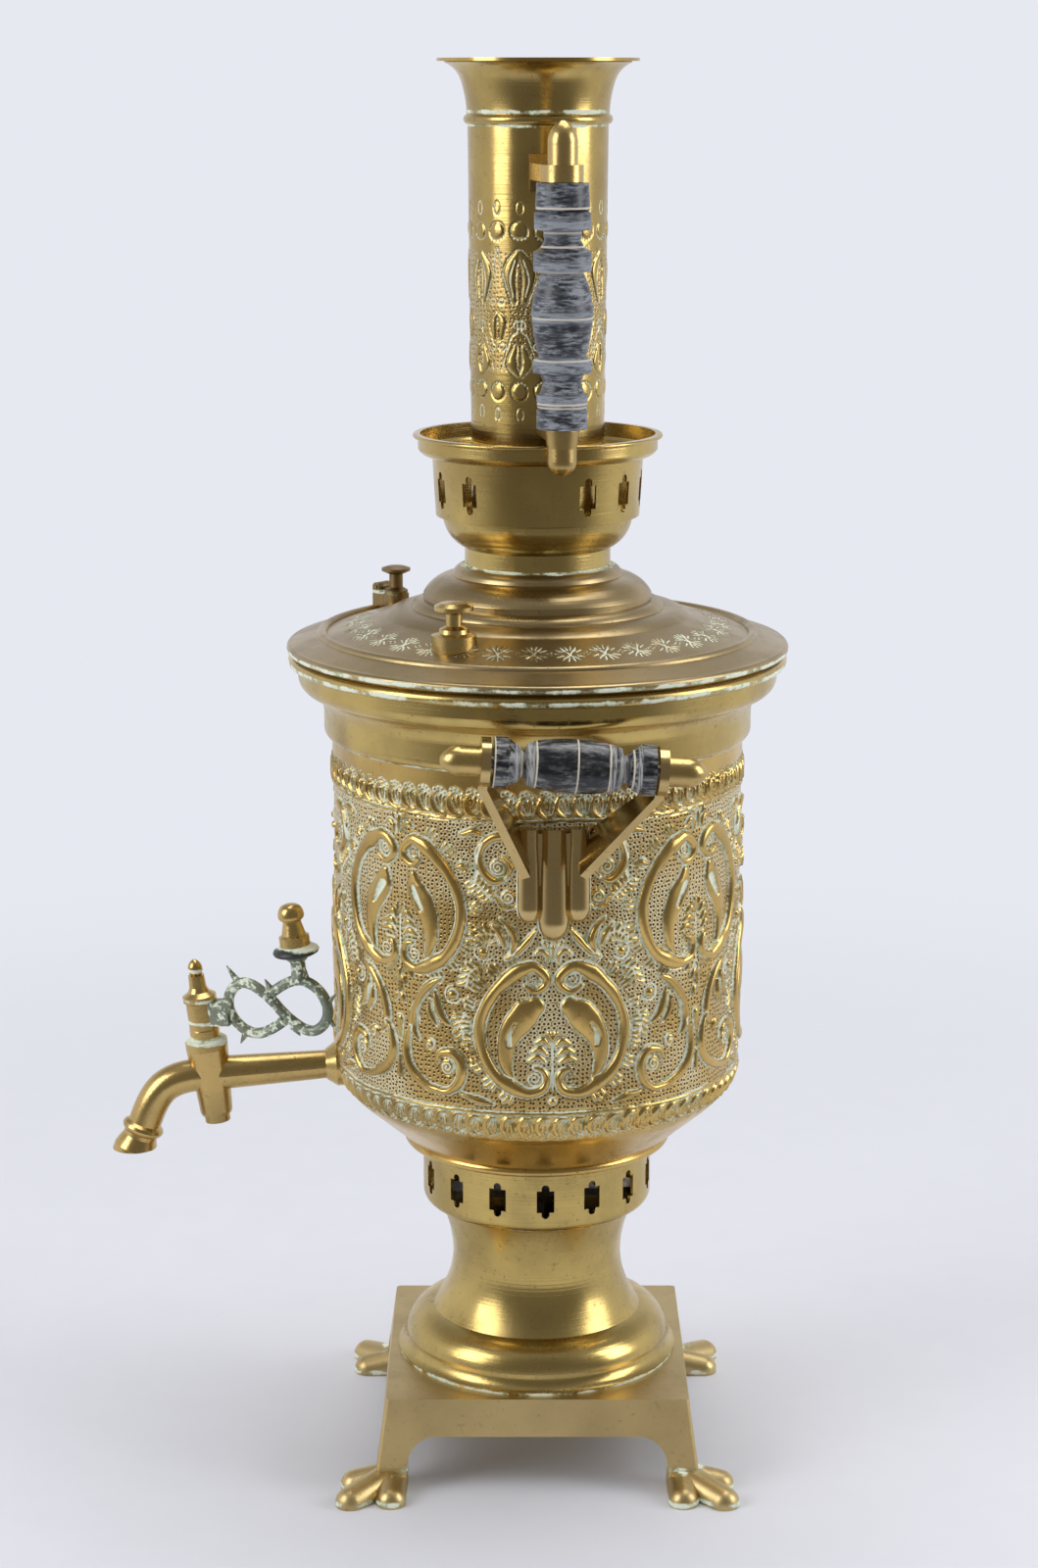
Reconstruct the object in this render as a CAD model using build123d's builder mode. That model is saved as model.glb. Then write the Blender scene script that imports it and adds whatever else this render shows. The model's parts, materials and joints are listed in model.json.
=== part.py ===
from build123d import *
import os
from math import cos, radians, sin

os.makedirs("parts", exist_ok=True)

# A charcoal samovar. The origin is the foot of the body's axis on the table, +Z is up, the tap points
# along -X and the two side handles stand at -Y (front) and +Y (rear). Millimetres and degrees.

# Walls and clearances
sheet = 1.2
foot_sheet = 1.6
cast_wall = 4.0
run_gap = 0.06
slip_gap = 0.3
bolt_gap = 0.3

# Heights, stacked from the table up
plinth_height = 50.0
pedestal_height = 83.0
band_height = 33.0
body_height = 218.5
rim_height = 42.5
lid_height = 45.0
crown_height = 66.5
chimney_height = 184.0

# Plinth and paws
plinth_turn = -4.0
plinth_top_half = 78.0
plinth_foot_half = 83.0
plinth_corner = 2.5
leg_end = 14.3
leg_width = 16.0
apron_height = 30.6
arch_radius = 15.0
toe_radius = 7.8
ankle_radius = 8.4
side_toe_reach = 27.0
middle_toe_reach = 37.0

# Pedestal and air band
foot_radius = 73.9
foot_roll_radius = 69.5
foot_crease_radius = 55.0
waist_radius = 44.5
pedestal_top_radius = 52.0
band_radius = 60.0
band_corner = 5.5
band_window_count = 15
window_width = 9.0
window_height = 11.6
window_lobe_width = 4.0
window_lobe_height = 3.3
crown_lobe_height = 3.8

# Body shell and rim
body_radius = 105.4
body_seat_radius = 64.0
body_cone_rise = 36.0
body_cone_foot = 70.0
body_corner = 30.0
bead_radius = 2.5
band_step = 4.0
rim_neck_radius = 122.3
rim_neck_rise = 30.5
lip_width = 5.0
lip_height = 5.5

# Relief beaten into the body: medallions of two crescents with volutes and a drop in each
relief_height = 1.6
medallion_radius = 33.2
crescent_bore = 26.4
crescent_shift = 4.75
crescent_inset = 8.8
volute_radius = 8.3
volute_rise = 24.5
drop_radius = 7.8
drop_tip_radius = 2.5
low_medallion_rise = 94.0
high_medallion_rise = 150.0
medallion_count = 4

# Fire tube and grate
flue_radius = 32.3
fire_foot_radius = 45.0
fire_cone_height = 130.0
fire_drop = 12.0
fire_flange = 6.0
grate_height = 3.0
grate_bar_pitch = 9.0
grate_slot_width = 4.5
chimney_seat_rise = 3.0
chimney_overlap = 15.0
chimney_seat_width = 2.2

# Base bolt
bolt_radius = 4.0
bolt_head_width = 13.0
bolt_head_height = 5.5
bolt_tip = 7.0
nut_height = 6.5
bar_width = 16.0
bar_height = 4.0
band_lip_radius = 46.0

# Lid
brim_overhang = 0.7
brim_width = 15.5
brim_rise = 10.0
brim_edge_rise = 5.8
lid_roll_width = 5.2
lid_roll_rise = 12.4
lid_step_radius = 78.0
lid_step_rise = 19.4
dome_radius = 58.0
dome_rise = 30.7
dome_crease_radius = 43.5
dome_crease_rise = 40.0
skirt_depth = 10.0
knob_radius = 9.6
knob_base_radius = 11.0
knob_height = 21.5
knob_neck_radius = 4.0
knob_shank_radius = 2.5
knob_inset = 8.7
knob_turn = -32.3

# Steam vent
vent_turn = -135.0
vent_inset = 8.5
vent_radius = 6.8
vent_seat_height = 4.0
vent_hole_radius = 2.2
vent_cap_height = 14.5
vent_head_radius = 7.6
vent_neck_radius = 3.6
vent_pin_radius = 1.1
vent_pin_reach = 10.4
vent_ear_width = 2.4
vent_lug_width = 4.0

# Crown
crown_neck_radius = 37.0
crown_neck_height = 9.0
crown_bowl_rise = 25.4
crown_wall_radius = 51.5
crown_wall_rise = 55.5
crown_flare = 1.8
crown_band_radius = 60.5
crown_lip_radius = 63.0
crown_window_count = 12
crown_window_pitch = 26.5
crown_window_start = 24.0
crown_window_rise = 39.5

# Chimney
chimney_flare = 1.4
chimney_sheet = 0.9
mouth_height = 32.5
mouth_bead_radius = 36.9
mouth_bead_height = 5.6
mouth_neck_radius = 35.7
mouth_flare_radius = 46.3
mouth_lip_radius = 50.0
mouth_lip_height = 1.5

# Chimney handle
chimney_handle_turn = 5.0
chimney_handle_reach = 72.0
upper_arm_drop = 49.5
upper_arm_width = 20.0
upper_arm_height = 8.0
lower_arm_rise = 3.0
lower_arm_width = 12.0
lower_arm_height = 6.0
lower_eye_radius = 8.5
bracket_plate_height = 18.0
bracket_plate_thickness = 1.6

# Grips, rods and nuts
rod_radius = 3.0
nut_radius = 7.2
side_nut_length = 19.0
chimney_nut_length = 20.5
lower_nut_length = 13.5
side_grip_length = 76.7
side_grip_radius = 13.0
side_grip_play = 1.4
chimney_grip_radius = 14.9
chimney_grip_play = 0.4

# Side handles
handle_reach = 35.4
handle_height = 231.0
front_grip_shift = 6.5
front_grip_tilt = 4.0
eye_radius = 11.8
eye_thickness = 4.5
root_drop = 25.5
root_height = 56.0
root_width = 34.0
root_rib_width = 13.2
root_depth = 7.0
root_web = 2.0
side_rib_rise = 9.0
arm_thickness = 4.5
arm_width = 10.0
arm_root_width = 26.0
rivet_radius = 2.0
upper_rivet_drop = 16.0
lower_rivet_drop = 40.0
rivet_head_radius = 4.0
rivet_head_height = 1.6

# Tap
tap_reach = 65.7
tap_height = 38.3
pipe_droop = 3.5
pipe_radius = 9.0
pipe_end_radius = 7.4
pipe_bore = 4.5
spigot_radius = 6.0
spigot_length = 22.0
tap_flange_radius = 11.8
tap_flange_depth = 5.5
tap_washer_radius = 11.0
tap_washer_depth = 3.0
tap_nut_width = 19.0
tap_nut_height = 6.0
plug_lean = 7.0
barrel_top = 19.3
barrel_bottom = 21.9
barrel_top_radius = 11.0
barrel_bottom_radius = 8.4
plug_top_radius = 6.8
plug_bottom_radius = 5.2
plug_port = 3.6
spout_reach = 40.0
spout_drop = 39.5
spout_radius = 8.6
spout_bore = 5.4
spout_lean = 20.0
spout_lip_radius = 11.5

# Tap key
key_turn = 25.0
key_collar_radius = 7.8
key_collar_height = 6.0
key_boss_radius = 7.6
key_boss_height = 14.0
key_ring_radius = 8.8
key_ring_height = 5.8
finial_height = 9.0
finial_ball_radius = 3.6
plug_nut_radius = 6.6
plug_nut_height = 4.0
plug_stud_radius = 3.0
loop_reach = 30.7
loop_pitch = 27.9
loop_radius = 16.5
loop_band = 5.6
loop_lift = 1.2
lever_rise = 16.6
lever_block_width = 9.0
lever_block_height = 12.5
lever_post_reach = 59.6
lever_post_top = 45.4
lever_post_radius = 3.8
lever_washer_radius = 12.0
lever_washer_height = 5.2
lever_knob_height = 22.0
lever_knob_radius = 7.8
lever_cap_radius = 6.7
lever_cap_height = 9.0
lever_stud_radius = 2.2

# Levels and radii that follow from the driving dimensions
z_plinth = plinth_height
z_band = z_plinth + pedestal_height
z_body = z_band + band_height
z_rim = z_body + body_height
z_lip = z_rim + rim_height
z_crown = z_lip + lid_height
z_crown_top = z_crown + crown_height
z_mouth_top = z_crown_top + chimney_height
z_mouth = z_mouth_top - mouth_height
z_chimney = z_crown + chimney_seat_rise
flue_hole = flue_radius + chimney_seat_width + slip_gap
chimney_radius = flue_radius + slip_gap + chimney_sheet
body_inside = body_radius - sheet
chimney_top_radius = chimney_radius + chimney_flare
lip_radius = rim_neck_radius + lip_width
lid_radius = lip_radius + brim_overhang


def upright(turn, reach, height):
    """Level plane at this turn from the front, reach from the body's axis; its x points outward."""
    out = (sin(radians(turn)), -cos(radians(turn)))
    return Plane(origin=(reach * out[0], reach * out[1], height), x_dir=(*out, 0), z_dir=(0, 0, 1))


def facing(turn, reach):
    """Upright plane that faces outward at this turn from the front; its y is the height."""
    level = upright(turn, reach, 0)
    return Plane(origin=level.origin, x_dir=level.y_dir, z_dir=level.x_dir)


def side_of(plane):
    """Plane through a turned piece's axis: x runs out from the axis and y along it."""
    return Plane(origin=plane.origin, x_dir=plane.x_dir, z_dir=-plane.y_dir)


def axis_of(plane):
    """The axis that a turned piece spins about."""
    return Axis(plane.origin, plane.z_dir)


def lathe(plane, *points):
    """Add the solid turned about the plane's axis from (radius, height) points."""
    with BuildSketch(side_of(plane)) as outline:
        with BuildLine():
            Polyline(*points, close=True)
        make_face()
    revolve(outline.sketch, axis=axis_of(plane))


def window(height, lobe_height):
    """Draw one stepped slot: a rectangle with an arched lobe above and below."""
    lobe = window_lobe_width / 2
    reach = window_height / 2 + lobe_height - lobe
    with Locations((0, height)):
        Rectangle(window_width, window_height)
        Rectangle(window_lobe_width, 2 * reach)
    with Locations((0, height - reach), (0, height + reach)):
        Circle(lobe)


def bullet(plane, radius, length):
    """Add a domed nut on the plane, screwed onto a rod over the straight part of its length."""
    straight = 0.45 * length
    bore = rod_radius + run_gap
    dome = length - straight
    tip = 0.2 * radius
    with BuildSketch(side_of(plane)) as outline:
        with BuildLine():
            Polyline(
                (tip, length),
                (0, length),
                (0, straight),
                (bore, straight),
                (bore, 0),
                (radius, 0),
                (radius, straight),
            )
            ThreePointArc((radius, straight), (0.8 * radius, straight + 0.6 * dome), (tip, length))
        make_face()
    revolve(outline.sketch, axis=axis_of(plane))


def save(part, name):
    """Label one finished piece and write its STEP file."""
    part.label = name
    export_step(part, f"parts/{name}.step")


# --- Plinth: a square casting with four arched aprons, turned a little against the body ---------------
plinth_plane = Plane.XY.rotated((0, 0, plinth_turn))
arch_planes = (
    side_of(plinth_plane),
    Plane(origin=(0, 0, 0), x_dir=plinth_plane.y_dir, z_dir=plinth_plane.x_dir),
)
arch_half = plinth_foot_half - leg_width
with BuildPart() as plinth:
    for inset in (0, cast_wall):
        with BuildSketch(plinth_plane.offset(leg_end)):
            foot_side = 2 * (plinth_foot_half - inset)
            RectangleRounded(foot_side, foot_side, plinth_corner)
        with BuildSketch(plinth_plane.offset(z_plinth - inset)):
            top_side = 2 * (plinth_top_half - inset)
            RectangleRounded(top_side, top_side, plinth_corner)
        loft(mode=Mode.SUBTRACT if inset else Mode.ADD)
    with BuildSketch(*arch_planes):
        with Locations((0, apron_height)):
            Rectangle(2 * arch_half, apron_height, align=(Align.CENTER, Align.MAX))
        fillet(vertices().group_by(Axis.Y)[-1], arch_radius)
    extrude(amount=plinth_foot_half, both=True, mode=Mode.SUBTRACT)
    with BuildSketch(Plane.XY.offset(z_plinth)):
        Circle(bolt_radius + bolt_gap)
    extrude(amount=-cast_wall, mode=Mode.SUBTRACT)
save(plinth.part, "plinth")

# --- Four paws: a square ankle under each leg and three toes spread over its corner --------------------
ankle_reach = plinth_foot_half - leg_width / 2
ankle_axis_height = leg_end - ankle_radius
toe_axis_height = toe_radius * 0.2
corners = {
    "front_left": (-1, -1),
    "front_right": (1, -1),
    "rear_left": (-1, 1),
    "rear_right": (1, 1),
}
for corner, (side, depth) in corners.items():
    ankle = plinth_plane.from_local_coords(Vector(side * ankle_reach, depth * ankle_reach, 0))
    toes = (
        (Vector(side, 0, 0), side_toe_reach),
        (Vector(side, depth, 0).normalized(), middle_toe_reach),
        (Vector(0, depth, 0), side_toe_reach),
    )
    with BuildPart() as paw:
        with BuildSketch(Plane(origin=ankle, x_dir=plinth_plane.x_dir)):
            RectangleRounded(leg_width, leg_width, plinth_corner)
        extrude(amount=leg_end)
        for heading, reach in toes:
            aim = heading.rotate(Axis.Z, plinth_turn)
            heel = ankle + Vector(0, 0, ankle_axis_height)
            tip = ankle + aim * (reach - toe_radius) + Vector(0, 0, toe_axis_height)
            toe_plane = Plane(origin=heel, x_dir=aim.cross(Vector(0, 0, 1)), z_dir=tip - heel)
            toe_length = (tip - heel).length
            with BuildSketch(side_of(toe_plane)):
                with BuildLine():
                    side_line = ((0, 0), (ankle_radius, 0), (toe_radius, toe_length))
                    Polyline((0, toe_length + toe_radius), *side_line)
                    RadiusArc((toe_radius, toe_length), (0, toe_length + toe_radius), -toe_radius)
                make_face()
            revolve(axis=axis_of(toe_plane))
        split(bisect_by=Plane.XY, keep=Keep.TOP)
    save(paw.part, f"paw_{corner}")

# --- Pedestal: a spun foot with a cove, a roll and a trumpet waist -------------------------------------
with BuildPart() as pedestal:
    with BuildSketch(Plane.XZ):
        with BuildLine():
            Polyline(
                (foot_crease_radius, z_plinth),
                (foot_radius, z_plinth),
                (foot_radius, z_plinth + foot_sheet),
            )
            cove_top = z_plinth + 9.5
            ThreePointArc(
                (foot_radius, z_plinth + foot_sheet),
                (foot_roll_radius + 1.2, z_plinth + 4.5),
                (foot_roll_radius, cove_top),
            )
            crease_height = cove_top + 14.0
            ThreePointArc(
                (foot_roll_radius, cove_top),
                (foot_roll_radius - 4.0, cove_top + 8.8),
                (foot_crease_radius, crease_height),
            )
            waist_height = z_plinth + 0.64 * pedestal_height
            ThreePointArc(
                (foot_crease_radius, crease_height),
                (waist_radius + 3.2, crease_height + 13.0),
                (waist_radius, waist_height),
            )
            ThreePointArc(
                (waist_radius, waist_height),
                (waist_radius + 1.6, waist_height + 13.5),
                (pedestal_top_radius, z_band),
            )
            offset(amount=foot_sheet, side=Side.LEFT)
        make_face()
    revolve(axis=Axis.Z)
    split(bisect_by=Plane.XY.offset(z_band), keep=Keep.BOTTOM)
save(pedestal.part, "pedestal")

# --- Air band: a collar pierced by stepped slots that let the draught in under the grate ---------------
band_pitch = 360 / band_window_count
with BuildPart() as air_band:
    with BuildSketch(Plane.XZ):
        with BuildLine():
            Line((band_lip_radius, z_band), (band_radius - band_corner, z_band))
            RadiusArc(
                (band_radius - band_corner, z_band), (band_radius, z_band + band_corner), -band_corner
            )
            Line((band_radius, z_band + band_corner), (band_radius, z_body))
            offset(amount=foot_sheet, side=Side.LEFT)
        make_face()
    revolve(axis=Axis.Z)
    for place in range(band_window_count):
        with BuildSketch(facing(place * band_pitch, band_radius + 1)):
            window(z_body - band_height / 2 + 1, window_lobe_height)
    extrude(amount=-foot_sheet * 3, mode=Mode.SUBTRACT)
save(air_band.part, "air_band")


# --- Body shell: a straight wall over a rounded, conical bottom ----------------------------------------
def body_outline():
    """Draw the body's outer line, from its flat seat on the air band up to the rim."""
    seat = Polyline(
        (fire_foot_radius + slip_gap, z_body),
        (body_seat_radius, z_body),
        (body_cone_foot, z_body + body_cone_foot - body_seat_radius),
    )
    FilletPolyline(
        seat @ 1, (body_radius, z_body + body_cone_rise), (body_radius, z_rim), radius=body_corner
    )


with BuildPart() as body_envelope:
    with BuildSketch(Plane.XZ):
        with BuildLine():
            body_outline()
            Polyline((body_radius, z_rim), (0, z_rim), (0, z_body), (fire_foot_radius + slip_gap, z_body))
        make_face()
    revolve(axis=Axis.Z)

tap_radius = body_radius + tap_reach
pipe_rise = (cos(radians(pipe_droop)), 0, sin(radians(pipe_droop)))
tap_centre = (-tap_radius, 0, z_body + tap_height)
pipe_plane = Plane(origin=tap_centre, x_dir=(0, -1, 0), z_dir=pipe_rise)
pipe_length = (tap_reach - tap_flange_depth) / cos(radians(pipe_droop))

with BuildSketch() as drop:
    with Locations((crescent_shift + 7.3, drop_radius - 1.3)):
        Circle(drop_radius)
    with Locations((crescent_shift + 14.0, -1.7 * drop_radius)):
        Circle(drop_tip_radius)
    make_hull()

with BuildSketch() as medallion:
    with Locations((crescent_shift, 0)):
        Circle(medallion_radius)
        Circle(crescent_bore, mode=Mode.SUBTRACT)
    with Locations((crescent_inset, 0)):
        Rectangle(
            2 * medallion_radius, 2 * medallion_radius, align=(Align.MIN, Align.CENTER), mode=Mode.INTERSECT
        )
    with Locations((crescent_inset, volute_rise), (crescent_inset, -volute_rise)):
        Circle(volute_radius)
    add(drop.sketch)
    mirror(about=Plane.YZ)

medallion_pitch = 360 / medallion_count
with BuildPart() as body_relief:
    for row, rise in enumerate((low_medallion_rise, high_medallion_rise)):
        for place in range(medallion_count):
            with BuildSketch(facing((place + row / 2) * medallion_pitch, body_radius * 0.8)):
                with Locations((0, z_body + rise)):
                    add(medallion.sketch)
    extrude(amount=body_radius * 0.3)
    with BuildSketch(Plane.XZ):
        with Locations((body_radius - sheet / 2, z_body + low_medallion_rise - 2 * medallion_radius)):
            Rectangle(relief_height + sheet / 2, body_height, align=(Align.MIN, Align.MIN))
    revolve(axis=Axis.Z, mode=Mode.INTERSECT)

handles = {"front": 0.0, "rear": 180.0}
root_top = z_rim - root_drop
rivet_spots = (
    (-root_width / 3, root_top - upper_rivet_drop),
    (root_width / 3, root_top - upper_rivet_drop),
    (0, root_top - lower_rivet_drop),
)
with BuildPart() as body_shell:
    with BuildSketch(Plane.XZ):
        with BuildLine():
            body_outline()
            offset(amount=sheet, side=Side.LEFT)
        make_face()
    revolve(axis=Axis.Z)
    with BuildSketch(Plane.XZ):
        with Locations((body_cone_foot - bead_radius, z_body + bead_radius + 1)):
            Circle(bead_radius)
    revolve(axis=Axis.Z)
    add(body_relief.part)
    with BuildSketch(pipe_plane.offset(pipe_length)):
        Circle(spigot_radius + bolt_gap)
    extrude(amount=spigot_length, mode=Mode.SUBTRACT)
    for turn in handles.values():
        with BuildSketch(facing(turn, body_radius + 1)):
            with Locations(*rivet_spots):
                Circle(rivet_radius)
        extrude(amount=-3 * sheet, mode=Mode.SUBTRACT)
save(body_shell.part, "body_shell")

with BuildPart() as body_interior:
    add(body_envelope.part)
    add(body_shell.part, mode=Mode.SUBTRACT)

# --- Rim: a straight band, a cove and a rolled lip that carries the lid --------------------------------
band_edge_radius = body_radius + band_step
with BuildPart() as body_rim:
    with BuildSketch(Plane.XZ):
        with BuildLine():
            RadiusArc((body_radius, z_rim), (band_edge_radius, z_rim + 5.5), -5.0)
            Line((band_edge_radius, z_rim + 5.5), (band_edge_radius, z_rim + 12.5))
            ThreePointArc(
                (band_edge_radius, z_rim + 12.5),
                (band_edge_radius + 1.5, z_rim + 19.0),
                (band_edge_radius + 5.6, z_rim + 23.5),
            )
            ThreePointArc(
                (band_edge_radius + 5.6, z_rim + 23.5),
                (rim_neck_radius - 2.0, z_rim + rim_neck_rise - 4.3),
                (rim_neck_radius, z_rim + rim_neck_rise),
            )
            Line((rim_neck_radius, z_rim + rim_neck_rise), (rim_neck_radius, z_lip))
            offset(amount=sheet, side=Side.LEFT)
        make_face()
        with BuildLine():
            Polyline(
                (lip_radius - 2, z_lip),
                (rim_neck_radius - sheet, z_lip),
                (rim_neck_radius - sheet, z_lip - lip_height),
                (lip_radius - 2, z_lip - lip_height),
            )
            ThreePointArc(
                (lip_radius - 2, z_lip - lip_height),
                (lip_radius, z_lip - lip_height / 2),
                (lip_radius - 2, z_lip),
            )
        make_face()
    revolve(axis=Axis.Z)
save(body_rim.part, "body_rim")

# --- Fire tube: the flue through the water, with a flange soldered to the body's bottom ----------------
z_fire_foot = z_body - fire_drop
fire_shoulder = z_body + 30.0
with BuildPart() as fire_tube:
    with BuildSketch(Plane.XZ):
        with BuildLine():
            Polyline(
                (fire_foot_radius - 5.5, z_fire_foot),
                (fire_foot_radius, z_fire_foot),
                (fire_foot_radius, fire_shoulder),
                (flue_radius, fire_shoulder + fire_cone_height),
                (flue_radius, z_chimney + chimney_overlap),
            )
            offset(amount=sheet, side=Side.LEFT)
        make_face()
    revolve(axis=Axis.Z)
    with BuildSketch(Plane.XZ):
        with Locations((fire_foot_radius - sheet / 2, z_body + sheet)):
            Rectangle(fire_flange + sheet / 2, sheet, align=(Align.MIN, Align.MIN))
        with Locations((flue_radius - sheet / 2, z_chimney)):
            Rectangle(chimney_seat_width + sheet / 2, 2 * sheet, align=(Align.MIN, Align.MAX))
    revolve(axis=Axis.Z)
save(fire_tube.part, "fire_tube")

# --- Grate: a pierced plate on the fire tube's inner lip ----------------------------------------------
grate_radius = fire_foot_radius - sheet - bolt_gap
slot_rows = int(2 * (grate_radius - 8) / grate_bar_pitch)
with BuildPart() as grate:
    with BuildSketch(Plane.XY.offset(z_fire_foot + sheet)):
        Circle(grate_radius)
        for row in range(slot_rows):
            across = (row - (slot_rows - 1) / 2) * grate_bar_pitch
            span = 2 * ((grate_radius - 5) ** 2 - across**2) ** 0.5
            with Locations((across, 0)):
                SlotOverall(span, grate_slot_width, rotation=90, mode=Mode.SUBTRACT)
    extrude(amount=grate_height)
save(grate.part, "grate")

# --- Base bolt, bar and nut: they clamp plinth, pedestal and air band together -------------------------
z_bar = z_band + foot_sheet
bar_length = 2 * (band_radius - band_corner - foot_sheet)
with BuildPart() as base_bar:
    with BuildSketch(Plane.XY.offset(z_bar)):
        SlotOverall(bar_length, bar_width)
        Circle(bolt_radius + bolt_gap, mode=Mode.SUBTRACT)
    extrude(amount=bar_height)
save(base_bar.part, "base_bar")

with BuildPart() as base_bolt:
    with BuildSketch(Plane.XY.offset(z_plinth - cast_wall)):
        RegularPolygon(bolt_head_width / 2, 6, major_radius=False)
    extrude(amount=-bolt_head_height)
    with BuildSketch(Plane.XY.offset(z_plinth - cast_wall)):
        Circle(bolt_radius)
    extrude(amount=z_bar + bar_height + bolt_tip - z_plinth + cast_wall)
save(base_bolt.part, "base_bolt")

with BuildPart() as base_nut:
    with BuildSketch(Plane.XY.offset(z_bar + bar_height)):
        RegularPolygon(bolt_head_width / 2, 6, major_radius=False)
        Circle(bolt_radius + run_gap, mode=Mode.SUBTRACT)
    extrude(amount=nut_height)
save(base_nut.part, "base_nut")

# --- Lid: brim, roll, engraved field, step, roll and dome ----------------------------------------------
brim_inner = lid_radius - brim_width
roll_inner = brim_inner - lid_roll_width
brim_edge = lid_radius - 2.5
field_rise = brim_rise + 0.4
skirt_radius = rim_neck_radius - sheet - slip_gap
collar_radius = crown_neck_radius + 1.5


def lid_outline():
    """Draw the lid's upper line, from the brim's edge inward to the collar under the crown."""
    Line((brim_edge, z_lip + brim_edge_rise), (brim_inner, z_lip + brim_rise))
    ThreePointArc(
        (brim_inner, z_lip + brim_rise),
        (brim_inner - lid_roll_width / 2, z_lip + lid_roll_rise),
        (roll_inner, z_lip + field_rise),
    )
    Line((roll_inner, z_lip + field_rise), (lid_step_radius, z_lip + lid_step_rise))
    z_step = z_lip + lid_step_rise
    ThreePointArc(
        (lid_step_radius, z_step),
        (lid_step_radius - 5.5, z_step + 3.2),
        (dome_radius + 6.5, z_step + 4.2),
    )
    ThreePointArc(
        (dome_radius + 6.5, z_step + 4.2),
        (dome_radius + 3.6, z_step + 7.4),
        (dome_radius, z_step + 8.2),
    )
    Line((dome_radius, z_step + 8.2), (dome_radius, z_lip + dome_rise))
    ThreePointArc(
        (dome_radius, z_lip + dome_rise),
        (dome_crease_radius + 8.8, z_lip + dome_crease_rise - 3.0),
        (dome_crease_radius, z_lip + dome_crease_rise),
    )
    ThreePointArc(
        (dome_crease_radius, z_lip + dome_crease_rise),
        (collar_radius + 2.9, z_crown - 1.6),
        (collar_radius, z_crown),
    )
    Line((collar_radius, z_crown), (flue_hole, z_crown))


with BuildPart() as lid_envelope:
    with BuildSketch(Plane.XZ):
        with BuildLine():
            lid_outline()
            Polyline(
                (flue_hole, z_crown),
                (0, z_crown),
                (0, z_lip),
                (brim_edge, z_lip),
                (brim_edge, z_lip + brim_edge_rise),
            )
        make_face()
    revolve(axis=Axis.Z)

knob_reach = lid_step_radius + knob_inset
vent_reach = roll_inner - vent_inset
field_slope = (lid_step_rise - field_rise) / (roll_inner - lid_step_radius)
field_top = z_lip + lid_step_rise
with BuildPart() as lid:
    with BuildSketch(Plane.XZ):
        with BuildLine():
            lid_outline()
            offset(amount=sheet, side=Side.LEFT)
        make_face()
        with BuildLine():
            Polyline(
                (brim_edge, z_lip + 1.2),
                (brim_edge - 1, z_lip),
                (skirt_radius, z_lip),
                (skirt_radius, z_lip - skirt_depth),
                (skirt_radius - sheet, z_lip - skirt_depth),
                (skirt_radius - sheet, z_lip + brim_edge_rise + 1.0),
                (brim_edge, z_lip + brim_edge_rise),
            )
            ThreePointArc(
                (brim_edge, z_lip + brim_edge_rise),
                (lid_radius, z_lip + brim_edge_rise / 2 + 0.6),
                (brim_edge, z_lip + 1.2),
            )
        make_face()
    revolve(axis=Axis.Z)
    with BuildSketch(upright(knob_turn, knob_reach, field_top)):
        Circle(knob_shank_radius + run_gap)
    with BuildSketch(upright(vent_turn, vent_reach, field_top)):
        Circle(vent_hole_radius)
    extrude(amount=lid_step_rise, both=True, mode=Mode.SUBTRACT)
save(lid.part, "lid")

# --- Lid knob: stepped base, neck and domed head on a shank through the lid ----------------------------
knob_low = field_top - field_slope * (knob_inset + knob_base_radius)
knob_axis = upright(knob_turn, knob_reach, knob_low)
base_top = 2 * knob_base_radius * field_slope + 1.5
with BuildPart() as lid_knob:
    lathe(
        knob_axis,
        (0, 0),
        (knob_base_radius, 0),
        (knob_base_radius, base_top),
        (knob_base_radius - 3.5, base_top + 1),
        (knob_base_radius - 4, base_top + 3),
        (knob_neck_radius, base_top + 4.5),
        (knob_neck_radius, knob_height - 3),
        (knob_radius, knob_height - 1),
        (knob_radius, knob_height + 1),
        (knob_radius * 0.7, knob_height + 2.5),
        (0, knob_height + 3),
    )
    add(lid_envelope.part, mode=Mode.SUBTRACT)
    with BuildSketch(knob_axis.offset(base_top)):
        Circle(knob_shank_radius)
    extrude(amount=-base_top - 4)
save(lid_knob.part, "lid_knob")

# --- Steam vent: a seat with two ears, a hinge pin and a capped plug that tips back --------------------
vent_low = field_top - field_slope * (vent_reach - lid_step_radius + vent_radius)
vent_axis = upright(vent_turn, vent_reach, vent_low)
seat_top = 2 * vent_radius * field_slope + vent_seat_height
ear_side = vent_lug_width / 2 + slip_gap
pin_knuckle = vent_pin_radius + 1.3
pin_height = seat_top + pin_knuckle + slip_gap
pin_plane = Plane(
    origin=vent_axis.from_local_coords(Vector(vent_pin_reach, 0, pin_height)),
    x_dir=vent_axis.x_dir,
    z_dir=vent_axis.y_dir,
)
with BuildPart() as vent_seat:
    with BuildSketch(vent_axis):
        Circle(vent_radius)
        with Locations((vent_pin_reach / 2, 0)):
            Rectangle(vent_pin_reach, 2 * (ear_side + vent_ear_width))
    extrude(amount=seat_top)
    for end in (-1, 1):
        with BuildSketch(pin_plane.offset(end * (ear_side + vent_ear_width / 2))):
            Circle(pin_knuckle)
            Rectangle(2 * pin_knuckle, pin_height, align=(Align.CENTER, Align.MIN), rotation=0)
            Circle(vent_pin_radius + run_gap, mode=Mode.SUBTRACT)
        extrude(amount=vent_ear_width / 2, both=True)
    add(lid_envelope.part, mode=Mode.SUBTRACT)
    with BuildSketch(vent_axis):
        Circle(vent_hole_radius)
    extrude(amount=2 * seat_top, mode=Mode.SUBTRACT)
save(vent_seat.part, "vent_seat")

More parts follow.
